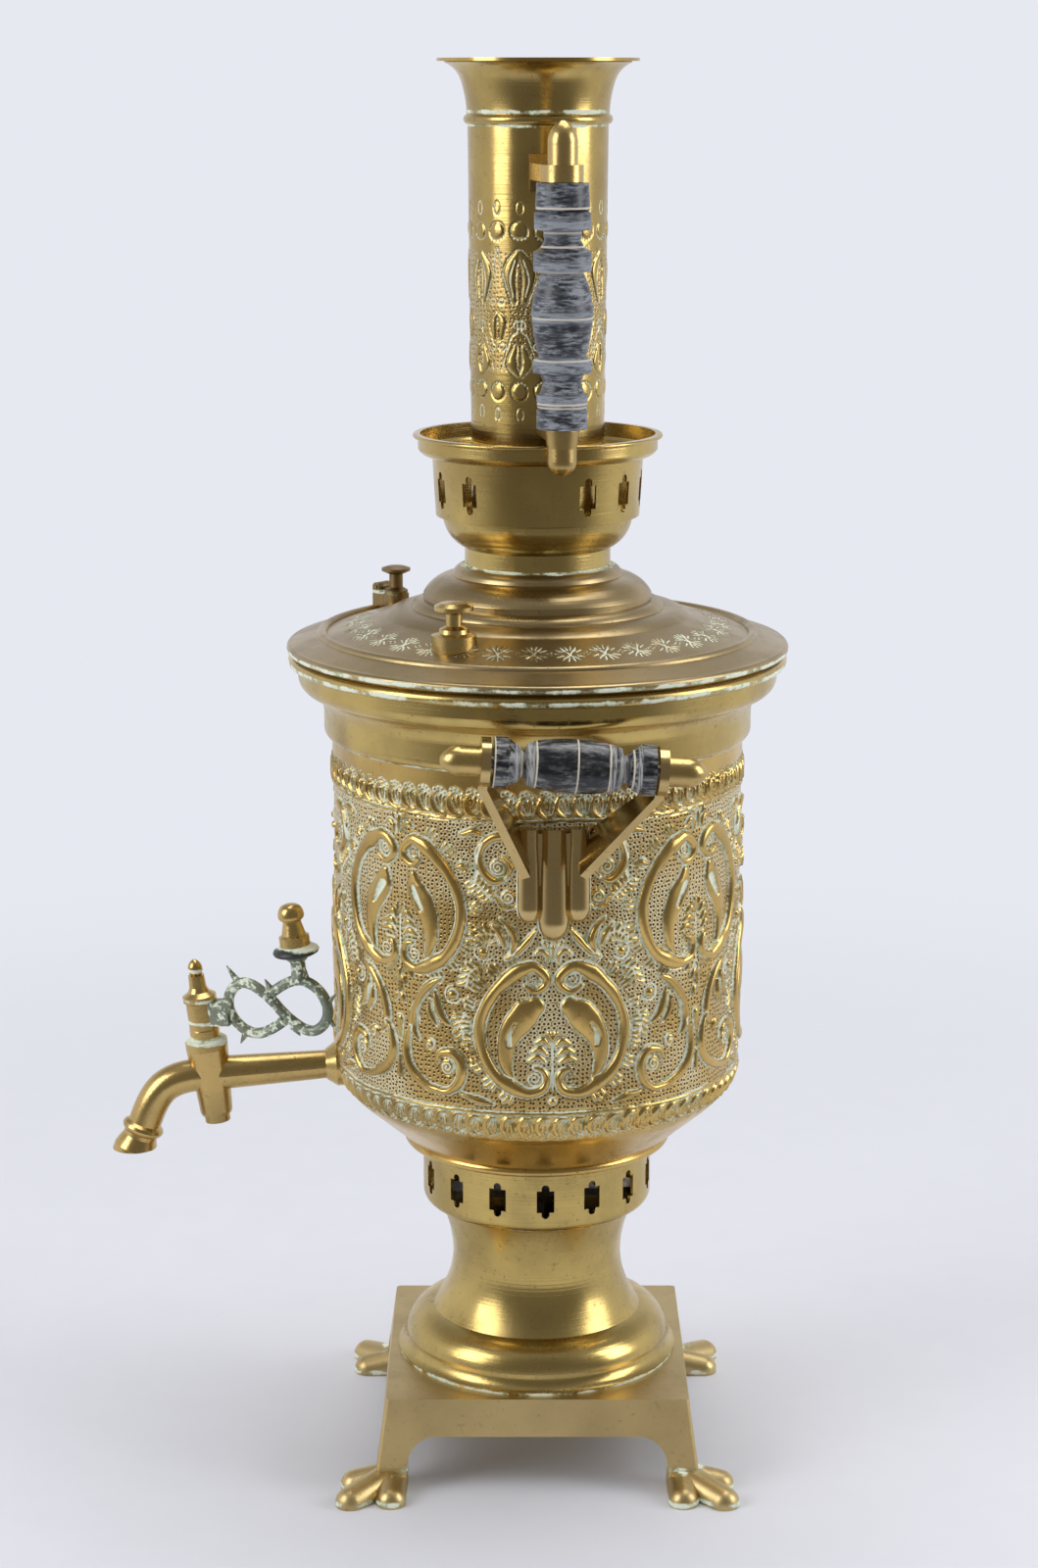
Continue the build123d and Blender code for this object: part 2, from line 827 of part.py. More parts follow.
with BuildPart() as vent_pin:
    with BuildSketch(pin_plane):
        Circle(vent_pin_radius)
    extrude(amount=ear_side + vent_ear_width + 0.6, both=True)
save(vent_pin.part, "vent_pin")

cap_top = seat_top + vent_cap_height
cap_flange = vent_radius - 0.6
with BuildPart() as vent_cap:
    lathe(
        vent_axis,
        (0, seat_top),
        (cap_flange, seat_top),
        (cap_flange, seat_top + 1.8),
        (vent_neck_radius, seat_top + 3.4),
        (vent_neck_radius, cap_top - 4.2),
        (vent_head_radius, cap_top - 2.4),
        (vent_head_radius, cap_top - 1.0),
        (vent_head_radius * 0.6, cap_top),
        (0, cap_top + 0.3),
    )
    with BuildSketch(pin_plane):
        Circle(pin_knuckle)
        with Locations((-vent_pin_reach / 2, pin_height - seat_top - 1)):
            Rectangle(vent_pin_reach, 2)
    extrude(amount=vent_lug_width / 2, both=True)
    with BuildSketch(pin_plane):
        Circle(vent_pin_radius + run_gap)
    extrude(amount=vent_lug_width, both=True, mode=Mode.SUBTRACT)
save(vent_cap.part, "vent_cap")

# --- Crown: a pierced bowl that stands on the lid round the chimney and carries the teapot -------------
z_bowl = z_crown + crown_bowl_rise
z_wall = z_crown + crown_wall_rise
wall_top_radius = crown_wall_radius + crown_flare
with BuildPart() as crown:
    with BuildSketch(Plane.XZ):
        with BuildLine():
            Line((crown_neck_radius, z_crown), (crown_neck_radius, z_crown + crown_neck_height))
            ThreePointArc(
                (crown_neck_radius, z_crown + crown_neck_height),
                (crown_wall_radius - 6.3, z_bowl - 9.2),
                (crown_wall_radius - 3.5, z_bowl - 0.9),
            )
            Polyline(
                (crown_wall_radius - 3.5, z_bowl - 0.9),
                (crown_wall_radius, z_bowl),
                (wall_top_radius, z_wall),
            )
            ThreePointArc(
                (wall_top_radius, z_wall),
                (wall_top_radius + 4.8, z_wall + 0.9),
                (crown_band_radius, z_wall + 3.4),
            )
            Line((crown_band_radius, z_wall + 3.4), (crown_band_radius, z_crown_top - 1))
            offset(amount=sheet, side=Side.LEFT)
        make_face()
        with BuildLine():
            Polyline(
                (crown_lip_radius - 0.8, z_crown_top),
                (crown_band_radius - sheet, z_crown_top),
                (crown_band_radius - sheet, z_crown_top - 2),
                (crown_lip_radius - 0.8, z_crown_top - 2),
            )
            ThreePointArc(
                (crown_lip_radius - 0.8, z_crown_top - 2),
                (crown_lip_radius, z_crown_top - 1),
                (crown_lip_radius - 0.8, z_crown_top),
            )
        make_face()
    revolve(axis=Axis.Z)
    for place in range(crown_window_count):
        with BuildSketch(facing(crown_window_start + place * crown_window_pitch, crown_band_radius)):
            window(z_crown + crown_window_rise, crown_lobe_height)
    extrude(amount=crown_wall_radius - crown_band_radius - 5, mode=Mode.SUBTRACT)
save(crown.part, "crown")

# --- Chimney: a slightly flared tube that slips over the fire tube, with a mouth of its own ------------
chimney_line = (
    (chimney_radius, z_chimney),
    (chimney_radius, z_crown_top),
    (chimney_top_radius, z_mouth),
)
with BuildPart() as chimney_envelope:
    lathe(Plane.XY, (0, z_chimney), *chimney_line, (0, z_mouth))

with BuildPart() as chimney_tube:
    with BuildSketch(Plane.XZ):
        with BuildLine():
            Polyline(*chimney_line)
            offset(amount=chimney_sheet, side=Side.LEFT)
        make_face()
    revolve(axis=Axis.Z)
    split(bisect_by=Plane.XY.offset(z_mouth), keep=Keep.BOTTOM)
save(chimney_tube.part, "chimney_tube")

z_bead_top = z_mouth + mouth_bead_height
with BuildPart() as chimney_mouth:
    with BuildSketch(Plane.XZ):
        with BuildLine():
            Line((chimney_top_radius, z_mouth), (chimney_top_radius, z_mouth + 0.6))
            ThreePointArc(
                (chimney_top_radius, z_mouth + 0.6),
                (mouth_bead_radius, z_mouth + mouth_bead_height / 2),
                (mouth_neck_radius - 0.4, z_bead_top),
            )
            ThreePointArc(
                (mouth_neck_radius - 0.4, z_bead_top),
                (mouth_neck_radius + 0.4, z_bead_top + 8.0),
                (mouth_neck_radius + 2.2, z_bead_top + 15.4),
            )
            ThreePointArc(
                (mouth_neck_radius + 2.2, z_bead_top + 15.4),
                (mouth_flare_radius - 5.4, z_mouth_top - 6.0),
                (mouth_flare_radius, z_mouth_top - mouth_lip_height - 0.6),
            )
            offset(amount=sheet, side=Side.LEFT)
        make_face()
        with Locations((mouth_flare_radius - sheet, z_mouth_top - mouth_lip_height)):
            Rectangle(
                mouth_lip_radius - mouth_flare_radius + sheet,
                mouth_lip_height,
                align=(Align.MIN, Align.MIN),
            )
    revolve(axis=Axis.Z)
save(chimney_mouth.part, "chimney_mouth")

# --- Chimney handle: two brackets, a rod, a turned grip and two domed nuts -----------------------------
rod_plane = upright(chimney_handle_turn, chimney_handle_reach, 0)
z_upper_arm = z_mouth_top - upper_arm_drop - upper_arm_height
z_lower_arm = z_crown_top + lower_arm_rise
plate_reach = chimney_top_radius + bracket_plate_thickness
chimney_arms = {
    "upper": (z_upper_arm, upper_arm_height, upper_arm_width, z_upper_arm - 6),
    "lower": (z_lower_arm, lower_arm_height, lower_arm_width, z_lower_arm),
}
lower_eye_top = z_lower_arm + lower_arm_height + 0.5
lower_eye_foot = z_lower_arm - 2.6
for place, (z_arm, height, width, z_plate) in chimney_arms.items():
    with BuildPart() as bracket:
        with BuildSketch(rod_plane.offset(z_arm)):
            Circle(width / 2)
            Rectangle(chimney_handle_reach - 10, width, align=(Align.MAX, Align.CENTER))
        extrude(amount=height)
        with BuildSketch(facing(chimney_handle_turn, plate_reach)):
            with Locations((0, z_plate)):
                Rectangle(width, bracket_plate_height, align=(Align.CENTER, Align.MIN))
        extrude(amount=-plate_reach / 2)
        if place == "lower":
            lathe(
                rod_plane,
                (0, lower_eye_foot),
                (nut_radius, lower_eye_foot),
                (lower_eye_radius, z_lower_arm + height),
                (lower_eye_radius, lower_eye_top),
                (0, lower_eye_top),
            )
        with BuildSketch(rod_plane.offset(lower_eye_foot)):
            Circle(rod_radius + run_gap)
        extrude(amount=z_mouth, mode=Mode.SUBTRACT)
        add(chimney_envelope.part, mode=Mode.SUBTRACT)
        split(bisect_by=facing(chimney_handle_turn, 0), keep=Keep.TOP)
    save(bracket.part, f"chimney_{place}_bracket")

upper_nut_seat = z_upper_arm + upper_arm_height
with BuildPart() as chimney_rod:
    with BuildSketch(rod_plane.offset(lower_eye_foot - 0.4 * lower_nut_length)):
        Circle(rod_radius)
    extrude(amount=upper_nut_seat - lower_eye_foot + 0.4 * (chimney_nut_length + lower_nut_length))
save(chimney_rod.part, "chimney_rod")

with BuildPart() as chimney_nuts:
    bullet(rod_plane.offset(upper_nut_seat), nut_radius, chimney_nut_length)
    nut_seat = rod_plane.offset(lower_eye_foot)
    nut_plane = Plane(origin=nut_seat.origin, x_dir=nut_seat.x_dir, z_dir=-nut_seat.z_dir)
    bullet(nut_plane, nut_radius, lower_nut_length)
save(chimney_nuts.part, "chimney_nuts")

grip_top = z_upper_arm - chimney_grip_play
grip_span = grip_top - lower_eye_top - chimney_grip_play
grip_bore = rod_radius + run_gap
full = chimney_grip_radius
belly_top, belly, belly_foot = 0.364 * grip_span, 0.536 * grip_span, 0.703 * grip_span
with BuildPart() as chimney_grip:
    hanging = rod_plane.offset(grip_top)
    hanging = Plane(origin=hanging.origin, x_dir=hanging.x_dir, z_dir=-hanging.z_dir)
    with BuildSketch(side_of(hanging)):
        with BuildLine():
            Polyline(
                (full * 0.69, belly_top),
                (full * 0.935, belly_top - 0.8),
                (full * 0.935, 0.278 * grip_span),
                (full * 0.76, 0.265 * grip_span),
                (full * 0.585, 0.231 * grip_span),
                (full * 0.64, 0.193 * grip_span),
                (full * 0.91, 0.188 * grip_span),
                (full * 0.91, 0.12 * grip_span),
                (full * 0.80, 0.113 * grip_span),
                (full * 0.88, 0.106 * grip_span),
                (full * 0.84, 0),
                (grip_bore, 0),
                (grip_bore, grip_span),
                (full * 0.83, grip_span),
                (full * 0.83, 0.926 * grip_span),
                (full * 0.77, 0.919 * grip_span),
                (full * 0.825, 0.91 * grip_span),
                (full * 0.825, 0.86 * grip_span),
                (full * 0.725, 0.855 * grip_span),
                (full * 0.61, 0.809 * grip_span),
                (full * 0.705, 0.778 * grip_span),
                (full * 0.945, 0.769 * grip_span),
                (full * 0.945, 0.714 * grip_span),
                (full * 0.765, belly_foot),
            )
            ThreePointArc((full * 0.69, belly_top), (full * 0.9, 0.44 * grip_span), (full, belly))
            ThreePointArc((full, belly), (full * 0.9, 0.63 * grip_span), (full * 0.765, belly_foot))
        make_face()
    revolve(axis=axis_of(rod_plane))
save(chimney_grip.part, "chimney_grip")

# --- Side handles: a three-ribbed bracket with two eyed arms, a rod, a turned grip and two nuts --------
half = side_grip_length / 2
eye_inner = half + side_grip_play
eye_outer = eye_inner + eye_thickness
eye_middle = (eye_inner + eye_outer) / 2
z_grip = z_body + handle_height
grip_reach = body_radius + handle_reach
tilt = radians(front_grip_tilt)
grip_planes = {
    "front": Plane(
        origin=(front_grip_shift, -grip_reach, z_grip), x_dir=(0, -1, 0), z_dir=(cos(tilt), 0, -sin(tilt))
    ),
    "rear": Plane(origin=(0, grip_reach, z_grip), x_dir=(0, 1, 0), z_dir=(-1, 0, 0)),
}
side_rib_width = (root_width - root_rib_width) / 2
side_rib_place = (root_rib_width + side_rib_width) / 2
rib_rows = (
    (0, root_rib_width, root_height),
    (-side_rib_place, side_rib_width, root_height - side_rib_rise),
    (side_rib_place, side_rib_width, root_height - side_rib_rise),
)
for place, grip_plane in grip_planes.items():
    turn = handles[place]
    root_plane = facing(turn, body_radius)
    grip_axis = axis_of(grip_plane)
    with BuildPart() as bracket:
        for across, width, length in rib_rows:
            round_rib = width / 2 + root_web / 5
            straight = length - 1.2 * width
            bulge = length - 0.45 * width
            tip = 0.25 * round_rib
            head = root_plane.from_local_coords(Vector(across, root_top, 0))
            rib_plane = Plane(origin=head, x_dir=root_plane.x_dir, z_dir=(0, 0, -1))
            with BuildSketch(side_of(rib_plane)):
                with BuildLine():
                    Polyline((tip, length), (0, length), (0, 0), (round_rib, 0), (round_rib, straight))
                    ThreePointArc((round_rib, straight), (0.78 * round_rib, bulge), (tip, length))
                make_face()
            revolve(axis=axis_of(rib_plane))
        with BuildSketch(root_plane):
            with Locations((0, root_top)):
                Rectangle(
                    2 * side_rib_place + root_web,
                    root_height - 3 * side_rib_rise,
                    align=(Align.CENTER, Align.MAX),
                )
        extrude(amount=root_web, both=True)
        with BuildSketch(root_plane):
            with Locations((0, root_top - arm_root_width / 2 - 2)):
                Rectangle(root_width - 4, arm_root_width)
        extrude(amount=root_depth - 3)
        for end in (-1, 1):
            eye = grip_plane.origin + grip_plane.z_dir * (end * eye_middle)
            across = end * (root_width / 2 - 3)
            root = root_plane.from_local_coords(Vector(across, root_top - arm_root_width / 2 - 2, 2))
            drop = root - eye
            drop = (drop - grip_plane.z_dir * drop.dot(grip_plane.z_dir)).normalized()
            elbow = eye + drop * (eye_radius + 2)
            aim = (elbow - root).normalized()
            flat = (grip_plane.z_dir - aim * grip_plane.z_dir.dot(aim)).normalized()
            with BuildSketch(Plane(origin=root, x_dir=flat, z_dir=aim)):
                Rectangle(arm_thickness, arm_root_width)
            with BuildSketch(Plane(origin=elbow, x_dir=grip_plane.z_dir, z_dir=-drop)):
                Rectangle(eye_thickness, arm_width)
            loft()
            with BuildSketch(Plane(origin=elbow, x_dir=grip_plane.z_dir, z_dir=-drop)):
                Rectangle(eye_thickness, arm_width)
            extrude(amount=eye_radius)
            with BuildSketch(Plane(origin=eye, x_dir=grip_plane.x_dir, z_dir=grip_plane.z_dir)):
                Circle(eye_radius)
            extrude(amount=eye_thickness / 2, both=True)
        with BuildSketch(grip_plane):
            Circle(rod_radius + run_gap)
        extrude(amount=2 * eye_outer, both=True, mode=Mode.SUBTRACT)
        with BuildSketch(root_plane):
            with Locations(*rivet_spots):
                Circle(rivet_radius)
        extrude(amount=root_depth / 2, both=True, mode=Mode.SUBTRACT)
        add(body_envelope.part, mode=Mode.SUBTRACT)
    save(bracket.part, f"{place}_bracket")

    with BuildPart() as rod:
        with BuildSketch(grip_plane):
            Circle(rod_radius)
        extrude(amount=eye_outer + 0.4 * side_nut_length, both=True)
    save(rod.part, f"{place}_rod")

    with BuildPart() as nuts:
        for end in (-1, 1):
            seat = grip_plane.origin + grip_plane.z_dir * (end * eye_outer)
            nut_plane = Plane(origin=seat, x_dir=grip_plane.x_dir, z_dir=grip_plane.z_dir * end)
            bullet(nut_plane, nut_radius, side_nut_length)
    save(nuts.part, f"{place}_nuts")

    with BuildPart() as grip:
        with BuildSketch(side_of(grip_plane)):
            with BuildLine():
                end_profile = (
                    (side_grip_radius * 0.86, half * 0.488),
                    (side_grip_radius * 0.75, half * 0.582),
                    (side_grip_radius * 0.51, half * 0.613),
                    (side_grip_radius * 0.51, half * 0.652),
                    (side_grip_radius * 0.65, half * 0.678),
                    (side_grip_radius * 0.87, half * 0.808),
                    (side_grip_radius * 0.945, half * 0.829),
                    (side_grip_radius * 0.945, half),
                )
                Polyline(*end_profile, (grip_bore, half), (grip_bore, 0))
                Polyline(*[(r, -y) for r, y in end_profile], (grip_bore, -half), (grip_bore, 0))
                belly_end = end_profile[0]
                ThreePointArc(belly_end, (side_grip_radius, 0), (belly_end[0], -belly_end[1]))
            make_face()
        revolve(axis=grip_axis)
    save(grip.part, f"{place}_grip")

with BuildPart() as bracket_rivets:
    for turn in handles.values():
        with BuildSketch(facing(turn, body_inside - rivet_head_height)):
            with Locations(*rivet_spots):
                Circle(rivet_head_radius)
        extrude(amount=rivet_head_height + sheet)
    add(body_interior.part, mode=Mode.INTERSECT)
    for turn in handles.values():
        with BuildSketch(facing(turn, body_inside - rivet_head_height)):
            with Locations(*rivet_spots):
                Circle(rivet_radius - run_gap)
        extrude(amount=rivet_head_height + sheet + root_depth / 3)
save(bracket_rivets.part, "bracket_rivets")

# --- Tap: wall flange, cast body with its spout, packing and lock nut inside the wall ------------------
lean = radians(plug_lean)
plug_plane = Plane(
    origin=tap_centre, x_dir=(cos(lean), 0, sin(lean)), z_dir=(-sin(lean), 0, cos(lean))
)
key_plane = Plane(
    origin=tap_centre,
    x_dir=plug_plane.x_dir.rotate(Axis((0, 0, 0), plug_plane.z_dir), -key_turn),
    z_dir=plug_plane.z_dir,
)
packing_end = pipe_length + tap_flange_depth + 8.5
with BuildPart() as tap_flange:
    lathe(
        pipe_plane.offset(pipe_length),
        (spigot_radius + run_gap, 0),
        (pipe_end_radius + 0.6, 0),
        (tap_flange_radius, tap_flange_depth),
        (tap_flange_radius, 3 * tap_flange_depth),
        (spigot_radius + run_gap, 3 * tap_flange_depth),
    )
    add(body_envelope.part, mode=Mode.SUBTRACT)
save(tap_flange.part, "tap_flange")

z_spout = tap_centre[2] - spout_drop
spout_tip = Vector(-tap_radius - spout_reach, 0, z_spout)
spout_aim = Vector(-sin(radians(spout_lean)), 0, -cos(radians(spout_lean)))
spout_start = Vector(*tap_centre)
droop = Vector(-pipe_rise[0], 0, -pipe_rise[2])
with BuildPart() as tap_body:
    with BuildSketch(pipe_plane):
        Circle(pipe_radius)
    with BuildSketch(pipe_plane.offset(pipe_length)):
        Circle(pipe_end_radius)
    loft()
    with BuildSketch(pipe_plane.offset(pipe_length)):
        Circle(spigot_radius)
    extrude(amount=spigot_length)
    with BuildLine() as spout_path:
        Spline(
            spout_start,
            spout_start + Vector(-0.64 * spout_reach, 0, -0.2 * spout_drop),
            spout_tip - spout_aim * (0.33 * spout_drop),
            spout_tip,
            tangents=(droop, spout_aim),
        )
    with BuildSketch(Plane(origin=spout_start, z_dir=droop)):
        Circle(spout_radius)
    sweep(path=spout_path.line)
    spout_plane = Plane(origin=spout_tip, x_dir=spout_aim.cross(Vector(0, 1, 0)), z_dir=-spout_aim)
    lathe(
        spout_plane,
        (0, -spout_lip_radius / 2),
        (spout_lip_radius, -spout_lip_radius / 2),
        (spout_lip_radius, 0),
        (spout_lip_radius - 1, 3.0),
        (spout_radius + 0.4, 6.5),
        (spout_radius + 0.3, 8.5),
        (spout_radius + 1.8, 10.0),
        (spout_radius + 2.4, 11.5),
        (spout_radius + 1.8, 13.0),
        (spout_radius - 1, 15.0),
        (0, 15.0),
    )
    split(bisect_by=Plane.XY.offset(z_spout), keep=Keep.TOP)
    lathe(
        plug_plane,
        (0, -barrel_bottom),
        (barrel_bottom_radius - 0.6, -barrel_bottom),
        (barrel_bottom_radius, -barrel_bottom + 1.5),
        (barrel_bottom_radius + 0.8, -spout_radius),
        (barrel_top_radius, barrel_top - 5),
        (barrel_top_radius, barrel_top - 0.6),
        (barrel_top_radius - 0.8, barrel_top),
        (0, barrel_top),
    )
    with BuildSketch(pipe_plane):
        Circle(pipe_bore)
    extrude(amount=pipe_length + spigot_length, mode=Mode.SUBTRACT)
    with BuildSketch(Plane(origin=spout_start, z_dir=droop)):
        Circle(spout_bore)
    sweep(path=spout_path.line, mode=Mode.SUBTRACT)
    with BuildSketch(spout_plane):
        Circle(spout_bore)
    extrude(amount=-spout_lip_radius, mode=Mode.SUBTRACT)
    lower_bore = plug_bottom_radius + run_gap
    upper_bore = plug_top_radius + run_gap
    with BuildSketch(plug_plane.offset(-barrel_bottom)):
        Circle(lower_bore)
    with BuildSketch(plug_plane.offset(barrel_top)):
        Circle(upper_bore)
    loft(mode=Mode.SUBTRACT)
save(tap_body.part, "tap_body")

with BuildPart() as tap_seal_washer:
    with BuildSketch(pipe_plane.offset(packing_end)):
        Circle(tap_washer_radius)
        Circle(spigot_radius + run_gap, mode=Mode.SUBTRACT)
    extrude(amount=-3 * tap_flange_depth)
    add(body_interior.part, mode=Mode.INTERSECT)
save(tap_seal_washer.part, "tap_seal_washer")

with BuildPart() as tap_lock_nut:
    with BuildSketch(pipe_plane.offset(packing_end)):
        RegularPolygon(tap_nut_width / 2, 6, major_radius=False)
        Circle(spigot_radius + run_gap, mode=Mode.SUBTRACT)
    extrude(amount=tap_nut_height)
save(tap_lock_nut.part, "tap_lock_nut")

# --- Tap key: tapered plug with its finial, figure-eight lever, washer and knob ------------------------
collar_top = barrel_top + key_collar_height
boss_top = collar_top + key_boss_height
ring_top = boss_top + key_ring_height
finial_top = ring_top + finial_height
with BuildPart() as tap_plug:
    lathe(
        key_plane,
        (0, -barrel_bottom - plug_nut_height),
        (plug_stud_radius, -barrel_bottom - plug_nut_height),
        (plug_stud_radius, -barrel_bottom + 0.4),
        (plug_bottom_radius, -barrel_bottom + 0.4),
        (plug_top_radius, barrel_top),
        (key_collar_radius, barrel_top),
        (key_collar_radius, collar_top - 0.6),
        (key_boss_radius, collar_top),
        (key_boss_radius, boss_top),
        (key_ring_radius, boss_top + 1),
        (key_ring_radius, ring_top - 2),
        (finial_ball_radius * 1.6, ring_top),
        (finial_ball_radius * 1.25, ring_top + 2.5),
        (finial_ball_radius * 1.15, finial_top),
        (finial_ball_radius * 0.8, finial_top),
        (0, finial_top),
    )
    with BuildSketch(side_of(key_plane)):
        with BuildLine():
            Line((0, finial_top), (0, finial_top + 1.4 + 2 * finial_ball_radius))
            ThreePointArc(
                (0, finial_top + 1.4 + 2 * finial_ball_radius),
                (finial_ball_radius, finial_top + 1.4 + finial_ball_radius),
                (finial_ball_radius * 0.75, finial_top),
            )
            Line((finial_ball_radius * 0.75, finial_top), (0, finial_top))
        make_face()
    revolve(axis=axis_of(key_plane))
    with BuildSketch(side_of(plug_plane)):
        Circle(plug_port)
    extrude(amount=plug_top_radius, both=True, mode=Mode.SUBTRACT)
save(tap_plug.part, "tap_plug")

with BuildPart() as plug_nut:
    with BuildSketch(plug_plane.offset(-barrel_bottom)):
        Circle(plug_nut_radius)
        Circle(plug_stud_radius + run_gap, mode=Mode.SUBTRACT)
    extrude(amount=-plug_nut_height)
save(plug_nut.part, "plug_nut")

first = Vector(loop_reach, barrel_top + lever_rise)
second = first + Vector(loop_pitch, loop_lift)
rod = loop_band / 2
coil = loop_radius - rod
block_foot = barrel_top + 8.0
loop_line = ((0.36, 0.72), (-0.3, 1.0), (-0.98, 0.45), (-0.85, -0.5), (-0.07, -1), (0.65, -0.82), (1.2, -0.5))
thorns = (
    (first + Vector(-0.45, 0.92) * coil, 120, 12.0),
    (first + Vector(-0.42, -0.9) * coil, -125, 8.5),
    (second + Vector(0.95, -0.05) * coil, 45, 9.5),
    (second + Vector(0.92, -0.35) * coil, -60, 10.0),
    (second + Vector(-0.5, -0.78) * coil, -60, 6.5),
    (second + Vector(-1.15, 0.52) * coil, 115, 8.0),
)
post_plane = Plane(
    origin=key_plane.from_local_coords(Vector(lever_post_reach, 0, 0)),
    x_dir=key_plane.x_dir,
    z_dir=key_plane.z_dir,
)
z_washer = barrel_top + lever_post_top
z_knob = z_washer + lever_washer_height
z_coil = second.Y + coil
lever_plane = side_of(key_plane)
with BuildPart() as tap_lever:
    for centre, side in ((first, 1), (second, -1)):
        turns = [centre + Vector(across, rise) * (coil * side) for across, rise in loop_line]
        with BuildLine() as coil_path:
            Spline(*[lever_plane.from_local_coords(spot) for spot in ((first + second) / 2, *turns)])
        with BuildSketch(Plane(origin=coil_path.line @ 0, z_dir=coil_path.line % 0)):
            Circle(rod)
        sweep(path=coil_path.line)
    for point, angle, length in thorns:
        foot = lever_plane.from_local_coords(point)
        tip = lever_plane.from_local_coords(point + Vector(length, 0).rotate(Axis.Z, angle))
        lathe(Plane(origin=foot, z_dir=tip - foot), (0, 0), (0.9 * rod, 0), (0.3, length), (0, length))
    with BuildSketch(lever_plane):
        with Locations((key_boss_radius - 2, block_foot)):
            Rectangle(
                first.X - coil - key_boss_radius + 2, lever_block_height, align=(Align.MIN, Align.MIN)
            )
    extrude(amount=lever_block_width / 2, both=True)
    lathe(
        post_plane,
        (0, z_coil - rod / 2),
        (1.3 * lever_post_radius, z_coil),
        (lever_post_radius, z_coil + 2 * rod),
        (lever_post_radius, z_washer - 4),
        (2 * lever_post_radius, z_washer),
        (lever_stud_radius, z_washer),
        (lever_stud_radius, z_knob + 0.4 * lever_knob_height),
        (0, z_knob + 0.4 * lever_knob_height),
    )
    add(tap_plug.part, mode=Mode.SUBTRACT)
save(tap_lever.part, "tap_lever")

stud_bore = lever_stud_radius + run_gap
with BuildPart() as lever_washer:
    lathe(
        post_plane,
        (stud_bore, z_washer),
        (lever_washer_radius - 2.2, z_washer),
        (lever_washer_radius - 0.6, z_washer + 0.8),
        (lever_washer_radius, z_washer + 2.0),
        (lever_washer_radius - 0.6, z_washer + 3.2),
        (lever_washer_radius - 1.8, z_washer + 3.8),
        (lever_knob_radius + 0.6, z_knob),
        (stud_bore, z_knob),
    )
save(lever_washer.part, "lever_washer")

knob_top = z_knob + lever_knob_height
with BuildPart() as lever_knob:
    with BuildSketch(side_of(post_plane)):
        with BuildLine():
            z_cap = knob_top - lever_cap_height
            Polyline(
                (0.7 * lever_cap_radius, z_cap),
                (0.72 * lever_cap_radius, z_cap - 1.5),
                (0.8 * lever_knob_radius, z_knob + 0.26 * lever_knob_height),
                (lever_knob_radius, z_knob + 0.22 * lever_knob_height),
                (lever_knob_radius, z_knob),
                (stud_bore, z_knob),
                (stud_bore, z_knob + 0.42 * lever_knob_height),
                (0, z_knob + 0.42 * lever_knob_height),
                (0, knob_top),
            )
            Spline(
                (0, knob_top),
                (0.84 * lever_cap_radius, knob_top - 0.25 * lever_cap_height),
                (lever_cap_radius, knob_top - 0.6 * lever_cap_height),
                (0.7 * lever_cap_radius, z_cap),
                tangents=((1, 0), (-1, -0.4)),
            )
        make_face()
    revolve(axis=axis_of(post_plane))
save(lever_knob.part, "lever_knob")
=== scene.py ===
"""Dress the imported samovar: embossed sheet, engraved flue, turned wood, aged brass and a plain studio.

Every class is one sub-assembly or one finish. Lengths inside the chased patterns are in millimetres,
and everything that reaches Blender is in metres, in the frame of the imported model.
"""

import json
import logging
import math
from collections.abc import Callable, Sequence
from dataclasses import dataclass, replace
from enum import Enum
from functools import cache

import bmesh
import bpy
import numpy as np
from mathutils import Matrix, Vector


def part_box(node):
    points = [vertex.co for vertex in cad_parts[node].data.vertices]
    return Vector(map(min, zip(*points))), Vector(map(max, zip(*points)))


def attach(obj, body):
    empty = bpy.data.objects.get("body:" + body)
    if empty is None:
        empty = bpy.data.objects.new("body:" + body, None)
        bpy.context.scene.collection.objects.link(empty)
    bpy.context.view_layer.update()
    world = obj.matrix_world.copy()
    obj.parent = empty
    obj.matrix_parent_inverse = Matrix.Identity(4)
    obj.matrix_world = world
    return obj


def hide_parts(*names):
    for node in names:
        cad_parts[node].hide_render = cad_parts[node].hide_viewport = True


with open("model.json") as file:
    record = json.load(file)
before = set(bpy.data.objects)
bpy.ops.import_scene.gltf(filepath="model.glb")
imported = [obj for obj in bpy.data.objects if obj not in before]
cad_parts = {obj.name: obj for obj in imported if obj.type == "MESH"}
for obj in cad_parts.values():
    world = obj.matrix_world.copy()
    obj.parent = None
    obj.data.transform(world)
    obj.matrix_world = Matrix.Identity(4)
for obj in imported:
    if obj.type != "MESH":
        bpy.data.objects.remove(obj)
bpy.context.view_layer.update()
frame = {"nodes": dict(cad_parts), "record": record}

MM = 0.001
FRONT = -math.pi / 2
DOT = 0.01  # Length in millimetres of a line that stands for a dot.

log = logging.getLogger("samovar")
Point = tuple[float, float]
Colour = tuple[float, float, float]
Triple = tuple[float, float, float]
Node = bpy.types.Node
Socket = bpy.types.NodeSocket
Tree = bpy.types.NodeTree


def put(name: str, data: bpy.types.ID) -> bpy.types.Object:
    """Put a new object with this data into the scene."""
    made = bpy.data.objects.new(name, data)
    bpy.context.scene.collection.objects.link(made)
    return made


